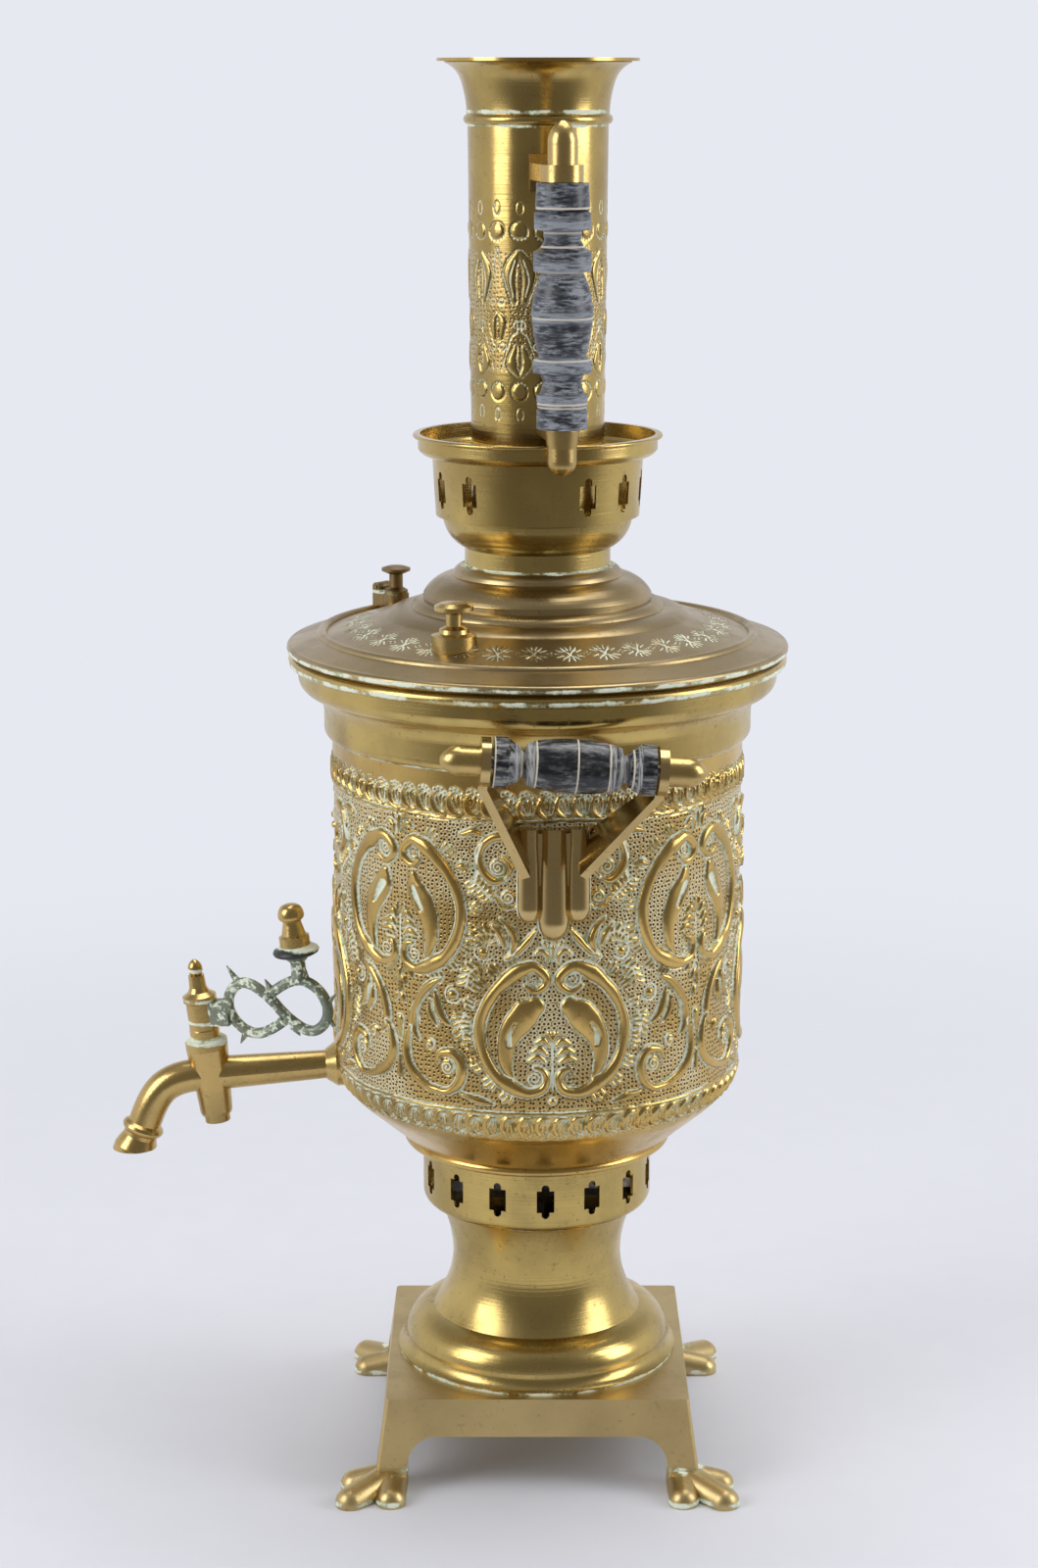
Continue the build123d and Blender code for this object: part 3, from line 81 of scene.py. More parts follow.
# --- Shader nodes ---------------------------------------------------------------------------------------
class Graph:
    """Short calls that add and join the nodes of one shader tree."""

    def __init__(self, tree: Tree) -> None:
        """Work on this tree."""
        self.tree = tree

    def add(self, kind: str, **settings: object) -> Node:
        """Add one node.

        Args:
            kind: The node's type name.
            settings: Properties to set on it.
        Returns:
            The new node.
        """
        node = self.tree.nodes.new(kind)
        for name, value in settings.items():
            setattr(node, name, value)
        return node

    def feed(self, socket: Socket, value: object) -> None:
        """Link a socket into another one, or set a plain value on it."""
        if isinstance(value, Socket):
            self.tree.links.new(value, socket)
        elif isinstance(value, tuple) and len(value) == 3 and socket.type == "RGBA":
            socket.default_value = (*value, 1.0)
        else:
            socket.default_value = value

    def math(self, operation: str, first: object, second: object = 0.0) -> Socket:
        """Add a Math node and return its result."""
        node = self.add("ShaderNodeMath", operation=operation)
        for socket, value in zip(node.inputs, (first, second)):
            self.feed(socket, value)
        return node.outputs[0]

    def mix(self, share: object, first: object, second: object) -> Socket:
        """Mix two colours by a share and return the result."""
        node = self.add("ShaderNodeMix", data_type="RGBA")
        self.feed(node.inputs["Factor"], share)
        self.feed(node.inputs[6], first)
        self.feed(node.inputs[7], second)
        return node.outputs[2]

    def spread(self, value: object, low: float, high: float, start: float = 0.0, end: float = 1.0) -> Socket:
        """Map a value from low..high onto start..end with a smooth, clamped ramp."""
        node = self.add("ShaderNodeMapRange", interpolation_type="SMOOTHSTEP")
        for socket, number in zip(node.inputs, (value, low, high, start, end)):
            self.feed(socket, number)
        return node.outputs[0]

    def noise(self, place: object, scale: float, detail: float = 3.0, rough: float = 0.55) -> Socket:
        """Add a noise texture at this place and return its value."""
        node = self.add("ShaderNodeTexNoise")
        self.feed(node.inputs["Vector"], place)
        for name, value in (("Scale", scale), ("Detail", detail), ("Roughness", rough)):
            self.feed(node.inputs[name], value)
        return node.outputs[0]

    def place(self, stretch: Triple = (1.0, 1.0, 1.0)) -> Socket:
        """Return the surface point in the frame at rest, stretched along its axes."""
        spot = self.add("ShaderNodeTexCoord").outputs["Object"]
        if stretch == (1.0, 1.0, 1.0):
            return spot
        node = self.add("ShaderNodeMapping", vector_type="POINT")
        self.feed(node.inputs["Vector"], spot)
        node.inputs["Scale"].default_value = stretch
        return node.outputs[0]

    def attribute(self, name: str) -> Socket:
        """Read a value that the mesh carries at its points."""
        return self.add("ShaderNodeAttribute", attribute_name=name).outputs["Fac"]

    def group(self, tree: Tree, **values: object) -> Node:
        """Add a shared effect and feed its inputs by name."""
        node = self.add("ShaderNodeGroup", node_tree=tree)
        for name, value in values.items():
            self.feed(node.inputs[name], value)
        return node

    def blend(self, share: object, first: Socket, second: Socket) -> Socket:
        """Mix two shaders by a share and return the result."""
        node = self.add("ShaderNodeMixShader")
        for socket, value in zip(node.inputs, (share, first, second)):
            self.feed(socket, value)
        return node.outputs[0]

    def dent(self, shader: Node, height: object, depth: float, strength: float) -> None:
        """Dent a shader's surface by a height whose unit is worth this depth in metres."""
        bump = self.add("ShaderNodeBump")
        bump.inputs["Distance"].default_value = depth
        bump.inputs["Strength"].default_value = strength
        self.feed(bump.inputs["Height"], height)
        self.feed(shader.inputs["Normal"], bump.outputs[0])


class Effects:
    """The shader node groups that several finishes share, each built once."""

    def start(
        self, name: str, inputs: dict[str, object], outputs: dict[str, str]
    ) -> tuple[Graph, Node, Node]:
        """Open a new group.

        Args:
            name: The group's name.
            inputs: The default of each named input: three numbers for a colour, one for a value.
            outputs: Socket type for each named output.
        Returns:
            The graph, the group's input node and its output node.
        """
        tree = bpy.data.node_groups.new(name, "ShaderNodeTree")
        for label, value in inputs.items():
            coloured = isinstance(value, tuple)
            kind = "NodeSocketColor" if coloured else "NodeSocketFloat"
            socket = tree.interface.new_socket(label, in_out="INPUT", socket_type=kind)
            socket.default_value = (*value, 1.0) if coloured else value
        for label, kind in outputs.items():
            tree.interface.new_socket(label, in_out="OUTPUT", socket_type=kind)
        graph = Graph(tree)
        return graph, graph.add("NodeGroupInput"), graph.add("NodeGroupOutput")

    @cache
    def patina(self) -> Tree:
        """Cloudy tarnish over bare metal: large stains, small clouds and fine specks."""
        graph, given, out = self.start(
            "Patina",
            {"Bright": (0.7, 0.5, 0.25), "Dull": (0.4, 0.3, 0.18), "Stain": (0.2, 0.12, 0.05), "Age": 0.5},
            {"Color": "NodeSocketColor", "Wear": "NodeSocketFloat"},
        )
        spot = graph.place()
        clouds = graph.noise(spot, 26.0, 5.0, 0.6)
        stains = graph.noise(spot, 9.0, 3.0, 0.5)
        specks = graph.noise(spot, 420.0, 2.0, 0.5)
        aged = graph.math("MULTIPLY", given.outputs["Age"], 0.3)
        soft = graph.spread(graph.math("ADD", clouds, aged), 0.45, 0.95)
        tone = graph.mix(soft, given.outputs["Bright"], given.outputs["Dull"])
        dark = graph.math("MULTIPLY", graph.spread(stains, 0.52, 0.78), given.outputs["Age"])
        tone = graph.mix(dark, tone, given.outputs["Stain"])
        dots = graph.math("MULTIPLY", graph.spread(specks, 0.62, 0.74), 0.35)
        tone = graph.mix(dots, tone, given.outputs["Stain"])
        wear = graph.math("ADD", graph.math("MULTIPLY", soft, 0.6), graph.math("MULTIPLY", dots, 0.8))
        graph.feed(out.inputs["Color"], tone)
        graph.feed(out.inputs["Wear"], wear)
        return graph.tree

    @cache
    def verdigris(self) -> Tree:
        """Powdery green and white salts wherever the mask is high, with a broken edge."""
        graph, given, out = self.start(
            "Verdigris",
            {"Metal": (0.5, 0.4, 0.2), "Mask": 0.0, "Green": (0.33, 0.52, 0.38), "Pale": (0.74, 0.78, 0.64)},
            {"Color": "NodeSocketColor", "Cover": "NodeSocketFloat"},
        )
        spot = graph.place()
        break_up = graph.noise(spot, 700.0, 4.0, 0.65)
        drift = graph.noise(spot, 38.0, 3.0, 0.5)
        reach = graph.math("MULTIPLY", given.outputs["Mask"], graph.spread(drift, 0.28, 0.62, 0.62, 1.25))
        cover = graph.spread(graph.math("ADD", reach, graph.math("SUBTRACT", break_up, 0.5)), 0.22, 0.84)
        whiter = graph.math("MULTIPLY", graph.math("SUBTRACT", cover, 0.5), 0.30)
        blotch = graph.math("ADD", graph.noise(spot, 190.0, 4.0, 0.6), whiter)
        salts = graph.mix(graph.spread(blotch, 0.36, 0.62), given.outputs["Green"], given.outputs["Pale"])
        graph.feed(out.inputs["Color"], graph.mix(cover, given.outputs["Metal"], salts))
        graph.feed(out.inputs["Cover"], cover)
        return graph.tree

    @cache
    def seam(self) -> Tree:
        """A mask along one level line of the frame, with wandering edges."""
        graph, given, out = self.start(
            "Seam",
            {"Height": 0.0, "Width": 0.002},
            {"Mask": "NodeSocketFloat"},
        )
        spot = graph.place()
        parts = graph.add("ShaderNodeSeparateXYZ")
        graph.feed(parts.inputs[0], spot)
        centred = graph.math("SUBTRACT", graph.noise(spot, 60.0), 0.5)
        drift = graph.math("MULTIPLY", centred, given.outputs["Width"])
        level = graph.math("ADD", parts.outputs["Z"], drift)
        away = graph.math("ABSOLUTE", graph.math("SUBTRACT", level, given.outputs["Height"]))
        share = graph.math("DIVIDE", away, given.outputs["Width"])
        graph.feed(out.inputs["Mask"], graph.spread(share, 1.0, 0.15))
        return graph.tree

    @cache
    def punching(self) -> Tree:
        """Small ring punch marks side by side on a sheet that stands round the vertical axis."""
        graph, given, out = self.start(
            "Punching",
            {"Radius": 0.105, "Pitch": 0.0024},
            {"Ring": "NodeSocketFloat", "Dot": "NodeSocketFloat"},
        )
        parts = graph.add("ShaderNodeSeparateXYZ")
        graph.feed(parts.inputs[0], graph.place())
        angle = graph.math("ARCTAN2", parts.outputs["X"], graph.math("MULTIPLY", parts.outputs["Y"], -1.0))
        unrolled = graph.add("ShaderNodeCombineXYZ")
        graph.feed(unrolled.inputs[0], graph.math("MULTIPLY", angle, given.outputs["Radius"]))
        graph.feed(unrolled.inputs[1], parts.outputs["Z"])
        cells = graph.add("ShaderNodeTexVoronoi", voronoi_dimensions="2D", feature="F1")
        graph.feed(cells.inputs["Vector"], unrolled.outputs[0])
        graph.feed(cells.inputs["Scale"], graph.math("DIVIDE", 1.0, given.outputs["Pitch"]))
        cells.inputs["Randomness"].default_value = 0.45
        away = cells.outputs["Distance"]
        edge = graph.math("ABSOLUTE", graph.math("SUBTRACT", away, 0.42))
        graph.feed(out.inputs["Ring"], graph.spread(edge, 0.17, 0.05))
        graph.feed(out.inputs["Dot"], graph.spread(away, 0.36, 0.20))
        return graph.tree

    @cache
    def turning(self) -> Tree:
        """Fine level scratches left by the lathe and by polishing round the axis."""
        graph, given, out = self.start("Turning", {"Fineness": 1.0}, {"Height": "NodeSocketFloat"})
        lines = graph.noise(graph.place((3.0, 3.0, 900.0)), 1.0, 2.0, 0.6)
        coarse = graph.noise(graph.place((1.0, 1.0, 220.0)), 1.0, 2.0, 0.5)
        both = graph.math("ADD", lines, coarse)
        graph.feed(out.inputs["Height"], graph.math("MULTIPLY", both, given.outputs["Fineness"]))
        return graph.tree


EFFECTS = Effects()


# --- Finishes -------------------------------------------------------------------------------------------
class Deposit(Enum):
    """Where green salts gather on a piece."""

    NONE = "none"
    SEAMS = "along the seams"
    CHASED = "in the chased lines"
    CLOUDS = "in patches all over"


@dataclass(frozen=True)
class Finish:
    """A finish made of shader nodes, under its own name."""

    name: str

    def start(self) -> tuple[bpy.types.Material, Graph, Node]:
        """Open a new material and return it with its graph and its shader."""
        made = bpy.data.materials.new(self.name)
        made.use_nodes = True
        return made, Graph(made.node_tree), made.node_tree.nodes["Principled BSDF"]


@dataclass(frozen=True)
class Brass(Finish):
    """Aged brass: tarnish clouds, salts in its seams or its chased lines, and marks of its making."""

    bright: Colour
    dull: Colour
    stain: Colour
    age: float
    gloss: float
    tarnish_gloss: float
    deposit: Deposit = Deposit.NONE
    seams: tuple[Point, ...] = ()
    punched_radius: float = 0.0
    ground_tone: Colour = (0.60, 0.40, 0.12)
    ring_tone: Colour = (0.72, 0.70, 0.50)
    lathe_marks: float = 0.0
    grain: float = 0.0

    def salt_mask(self, graph: Graph) -> object:
        """Where green salts gather: along the seams, in patches or in the chased lines."""
        mask: object = 0.0
        for level, width in self.seams:
            seam = graph.group(EFFECTS.seam(), Height=level, Width=width)
            broken = graph.spread(graph.noise(graph.place(), 85.0, 4.0), 0.32, 0.64, 0.30, 0.95)
            mask = graph.math("MAXIMUM", mask, graph.math("MULTIPLY", seam.outputs["Mask"], broken))
        if self.deposit is Deposit.CLOUDS:
            clouds = graph.spread(graph.noise(graph.place(), 330.0, 4.0, 0.65), 0.43, 0.62, 0.0, 0.8)
            mask = graph.math("MAXIMUM", mask, clouds)
        if self.deposit is Deposit.CHASED:
            mask = graph.math("MAXIMUM", mask, graph.attribute("deposit"))
        return mask

    def punch(self, graph: Graph, tone: Socket, height: Socket) -> tuple[Socket, Socket, Socket]:
        """Punch the ground between the embossed forms.

        Args:
            graph: The material's graph.
            tone: The metal's colour.
            height: Its height.
        Returns:
            The new colour, the new height, and how chalky each point is.
        """
        ground = graph.attribute("ground")
        marks = graph.group(EFFECTS.punching(), Radius=self.punched_radius)
        ring = graph.math("MULTIPLY", marks.outputs["Ring"], ground)
        dot = graph.math("MULTIPLY", marks.outputs["Dot"], ground)
        tone = graph.mix(graph.math("MULTIPLY", ground, 0.6), tone, self.ground_tone)
        chalky = graph.spread(graph.noise(graph.place(), 17.0, 3.0), 0.40, 0.60, 0.12, 0.80)
        chalk = graph.math("MULTIPLY", ring, chalky)
        tone = graph.mix(dot, graph.mix(chalk, tone, self.ring_tone), self.stain)
        return tone, graph.math("SUBTRACT", height, graph.math("MULTIPLY", dot, 1.4)), chalk

    def material(self) -> bpy.types.Material:
        """Build the finish.

        Returns:
            The new material.
        """
        made, graph, shader = self.start()
        tones = {"Bright": self.bright, "Dull": self.dull, "Stain": self.stain, "Age": self.age}
        patina = graph.group(EFFECTS.patina(), **tones)
        tone = patina.outputs["Color"]
        height = graph.math("MULTIPLY", graph.noise(graph.place(), 60.0, 4.0), 0.25)
        chalk: object = 0.0
        if self.punched_radius:
            tone, height, chalk = self.punch(graph, tone, height)
        if self.lathe_marks:
            turning = graph.group(EFFECTS.turning(), Fineness=self.lathe_marks)
            height = graph.math("ADD", height, turning.outputs["Height"])
        if self.grain:
            pits = graph.noise(graph.place(), 900.0, 3.0, 0.6)
            height = graph.math("ADD", height, graph.math("MULTIPLY", pits, self.grain))
        rough = graph.spread(patina.outputs["Wear"], 0.0, 0.8, self.gloss, self.tarnish_gloss)
        if self.deposit is Deposit.NONE:
            shader.inputs["Metallic"].default_value = 1.0
        else:
            salts = graph.group(EFFECTS.verdigris(), Metal=tone, Mask=self.salt_mask(graph))
            tone = salts.outputs["Color"]
            cover = graph.math("MAXIMUM", salts.outputs["Cover"], graph.math("MULTIPLY", chalk, 0.8))
            rough = graph.math("ADD", rough, graph.math("MULTIPLY", cover, 0.45))
            graph.feed(shader.inputs["Metallic"], graph.spread(cover, 0.9, 0.2))
        graph.feed(shader.inputs["Base Color"], tone)
        graph.feed(shader.inputs["Roughness"], rough)
        graph.dent(shader, height, 0.25 * MM, 0.6)
        return made


@dataclass(frozen=True)
class Lacquer(Finish):
    """Black lacquered wood that has worn grey, with pale filler in its turned grooves."""

    coat: Colour
    worn: Colour
    filler: Colour
    wear: float
    gloss: float
    along: Triple
    across: Triple

    def material(self) -> bpy.types.Material:
        """Build the finish.

        Returns:
            The new material.
        """
        made, graph, shader = self.start()
        grain = graph.noise(graph.place(self.along), 1.0, 4.0, 0.65)
        rubs = graph.noise(graph.place(), 55.0, 4.0, 0.6)
        bare = graph.math("MULTIPLY", graph.spread(grain, 0.40, 0.66), graph.spread(rubs, 0.30, 0.60))
        bare = graph.math("MULTIPLY", bare, self.wear)
        hoops = graph.noise(graph.place(self.across), 1.0, 3.0, 0.7)
        rubbed = graph.math("MULTIPLY", graph.attribute("ground"), graph.spread(hoops, 0.36, 0.56, 0.1, 1.0))
        bare = graph.math("MAXIMUM", bare, rubbed)
        tone = graph.mix(bare, self.coat, self.worn)
        groove = graph.math("ADD", graph.attribute("deposit"), graph.math("MULTIPLY", grain, 0.35))
        ring = graph.spread(groove, 0.55, 0.85)
        graph.feed(shader.inputs["Base Color"], graph.mix(ring, tone, self.filler))
        rough = graph.math("ADD", graph.math("MULTIPLY", bare, 0.4), self.gloss)
        graph.feed(shader.inputs["Roughness"], graph.math("ADD", rough, graph.math("MULTIPLY", ring, 0.3)))
        graph.dent(shader, grain, 0.2 * MM, 0.5)
        return made


@dataclass(frozen=True)
class Plain(Finish):
    """A plain working material with a mottled surface: iron, steel, fibre or rubber."""

    base: Colour
    mottle: Colour
    metallic: float
    gloss: float
    size: float
    powder: float = 0.0
    powder_level: float = 0.0
    powder_width: float = 0.0046

    def material(self) -> bpy.types.Material:
        """Build the finish.

        Returns:
            The new material.
        """
        made, graph, shader = self.start()
        coarse = graph.noise(graph.place(), 1.0 / self.size, 4.0, 0.6)
        tone = graph.mix(graph.spread(coarse, 0.35, 0.7), self.base, self.mottle)
        if self.powder:
            seam = graph.group(EFFECTS.seam(), Height=self.powder_level, Width=self.powder_width)
            mask = graph.math("MULTIPLY", seam.outputs["Mask"], self.powder)
            tone = graph.group(EFFECTS.verdigris(), Metal=tone, Mask=mask).outputs["Color"]
        graph.feed(shader.inputs["Base Color"], tone)
        shader.inputs["Metallic"].default_value = self.metallic
        graph.feed(shader.inputs["Roughness"], graph.spread(coarse, 0.3, 0.7, self.gloss, self.gloss + 0.2))
        graph.dent(shader, coarse, 0.3 * MM, 0.5)
        return made


# --- Turned meshes --------------------------------------------------------------------------------------
def cut_outline(node: str, turn: float = 37.0, to_axis: Matrix | None = None) -> np.ndarray:
    """Cut a turned node through its axis and follow the cut round.

    Args:
        node: The node to cut.
        turn: Where to cut, in degrees round the axis.
        to_axis: Carries the piece's own axis onto the frame's Z axis.
    Returns:
        The outline as rows of (radius, height) in metres, anticlockwise, closed or ending on the axis.
    """
    work = bmesh.new()
    work.from_mesh(frame["nodes"][node].data)
    if to_axis is not None:
        work.transform(to_axis)
    bmesh.ops.remove_doubles(work, verts=work.verts, dist=1e-6)
    angle = math.radians(turn)
    out = Vector((math.cos(angle), math.sin(angle), 0.0))
    across = Vector((-math.sin(angle), math.cos(angle), 0.0))
    everything = work.verts[:] + work.edges[:] + work.faces[:]
    cut = bmesh.ops.bisect_plane(work, geom=everything, plane_co=(0, 0, 0), plane_no=across, dist=1e-7)
    near: dict[int, list[int]] = {}
    spots: dict[int, Point] = {}
    work.verts.index_update()
    for edge in cut["geom_cut"]:
        if isinstance(edge, bmesh.types.BMEdge) and all(v.co.dot(out) > -1e-6 for v in edge.verts):
            first, second = edge.verts
            near.setdefault(first.index, []).append(second.index)
            near.setdefault(second.index, []).append(first.index)
            for vert in edge.verts:
                spots[vert.index] = (max(vert.co.dot(out), 0.0), vert.co.z)
    work.free()
    best: list[int] = []
    left = set(near)
    while left:
        ends = [v for v in left if len(near[v]) == 1]
        here = ends[0] if ends else next(iter(left))
        path = [here]
        left.discard(here)
        while True:
            ahead = [v for v in near[here] if v in left]
            if not ahead:
                break
            here = ahead[0]
            left.discard(here)
            path.append(here)
        best = max(best, path, key=len)
    line = np.array([spots[v] for v in best])
    r, z = line[:, 0], line[:, 1]
    if np.sum(r * np.roll(z, -1) - np.roll(r, -1) * z) < 0:
        line = line[::-1]
    return line


def divide(line: np.ndarray, step: Callable[[float, float], float]) -> np.ndarray:
    """Add points along a closed outline.

    Args:
        line: Rows of (radius, height).
        step: The largest spacing at a point, as a function of its radius and height.
    Returns:
        The outline with its own points kept and evenly spaced ones between them.
    """
    rows = []
    for here, ahead in zip(line, np.roll(line, -1, axis=0)):
        middle = (here + ahead) / 2
        count = max(1, math.ceil(float(np.linalg.norm(ahead - here)) / step(*middle)))
        rows.extend(here + (ahead - here) * share for share in np.arange(count) / count)
    return np.array(rows)


@dataclass(frozen=True)
class Surface:
    """What a chased sheet does at each point: its height, its salts and its punched ground."""

    height: np.ndarray
    deposit: np.ndarray
    ground: np.ndarray


def turn_mesh(
    name: str,
    line: np.ndarray,
    columns: int,
    chasing: Callable[[np.ndarray, np.ndarray, np.ndarray], Surface] | None = None,
    from_axis: Matrix | None = None,
    crease: float = 35.0,
) -> bpy.types.Object:
    """Spin a closed outline into a mesh.

    Args:
        name: The new object's name.
        line: The outline, rows of (radius, height), anticlockwise.
        columns: How many steps go round.
        chasing: Gives the surface from the turn from the front in radians, the radius and the height;
            only what faces away from the axis is chased.
        from_axis: Carries the Z axis onto the piece's own axis.
        crease: Edges sharper than this many degrees stay sharp.
    Returns:
        The new object, at the frame's origin.
    """
    ahead, behind = np.roll(line, -1, axis=0), np.roll(line, 1, axis=0)
    way = ahead - behind
    way /= np.maximum(np.linalg.norm(way, axis=1, keepdims=True), 1e-12)
    outward = np.stack([way[:, 1], -way[:, 0]], axis=1)
    theta = np.arange(columns) * (2 * math.pi / columns)
    r = np.repeat(line[:, :1], columns, axis=1)
    z = np.repeat(line[:, 1:], columns, axis=1)
    turns = np.broadcast_to((theta - FRONT + math.pi) % (2 * math.pi) - math.pi, r.shape)
    surface = None
    if chasing is not None:
        surface = chasing(turns, r, z)
        facing = np.clip(outward[:, :1] * 4.0, 0.0, 1.0)
        lift = surface.height * facing
        r = r + outward[:, :1] * lift
        z = z + outward[:, 1:] * lift
    spots = np.stack([r * np.cos(theta), r * np.sin(theta), z], axis=2).reshape(-1, 3)
    if from_axis is not None:
        turned = np.array(from_axis)
        spots = spots @ turned[:3, :3].T + turned[:3, 3]
    rows = len(line)
    row = np.arange(rows)[:, None]
    column = np.arange(columns)[None, :]
    next_row, next_column = (row + 1) % rows, (column + 1) % columns
    corners = np.stack(
        [
            row * columns + column,
            row * columns + next_column,
            next_row * columns + next_column,
            next_row * columns + column,
        ],
        axis=2,
    ).reshape(-1, 4)
    mesh = bpy.data.meshes.new(name)
    mesh.vertices.add(len(spots))
    mesh.vertices.foreach_set("co", spots.astype(np.float32).ravel())
    mesh.loops.add(corners.size)
    mesh.loops.foreach_set("vertex_index", corners.astype(np.int32).ravel())
    mesh.polygons.add(len(corners))
    mesh.polygons.foreach_set("loop_start", np.arange(0, corners.size, 4, dtype=np.int32))
    mesh.update(calc_edges=True)
    if surface is not None:
        for label, values in (("deposit", surface.deposit * facing), ("ground", surface.ground * facing)):
            layer = mesh.attributes.new(label, "FLOAT", "POINT")
            layer.data.foreach_set("value", values.astype(np.float32).ravel())
    if line[:, 0].min() < 1e-6:
        work = bmesh.new()
        work.from_mesh(mesh)
        bmesh.ops.remove_doubles(work, verts=work.verts, dist=1e-7)
        bmesh.ops.dissolve_degenerate(work, edges=work.edges, dist=1e-7)
        work.to_mesh(mesh)
        work.free()
    mesh.shade_smooth()
    mesh.set_sharp_from_angle(angle=math.radians(crease))
    return put(name, mesh)


# --- Chased patterns ------------------------------------------------------------------------------------
def smooth_path(points: Sequence[Point], count: int = 12) -> np.ndarray:
    """Run a smooth line through a few points."""
    p = np.array(points, float)
    if len(p) < 3:
        return np.linspace(p[0], p[-1], count + 1)
    ends = np.vstack([2 * p[0] - p[1], p, 2 * p[-1] - p[-2]])
    t = np.linspace(0, 1, count, endpoint=False)[:, None]
    rows = [
        0.5 * (2 * b + (c - a) * t + (2 * a - 5 * b + 4 * c - d) * t**2 + (3 * b - a - 3 * c + d) * t**3)
        for a, b, c, d in zip(ends, ends[1:], ends[2:], ends[3:])
    ]
    return np.vstack([*rows, p[-1:]])


def volute(
    centre: Point, start: float, end: float, angle: float, sweep: float, count: int = 14
) -> list[Point]:
    """Points of a spiral round a centre.

    Args:
        centre: The spiral's centre.
        start: Its first radius.
        end: Its last radius.
        angle: Where it starts, in degrees anticlockwise from the right.
        sweep: How far it turns, in degrees.
        count: How many points it has.
    Returns:
        The points in order.
    """
    shares = np.linspace(0.0, 1.0, count)
    reach = start + (end - start) * shares
    heading = np.radians(angle + sweep * shares)
    across, up = centre[0] + reach * np.cos(heading), centre[1] + reach * np.sin(heading)
    return [(float(x), float(y)) for x, y in zip(across, up)]


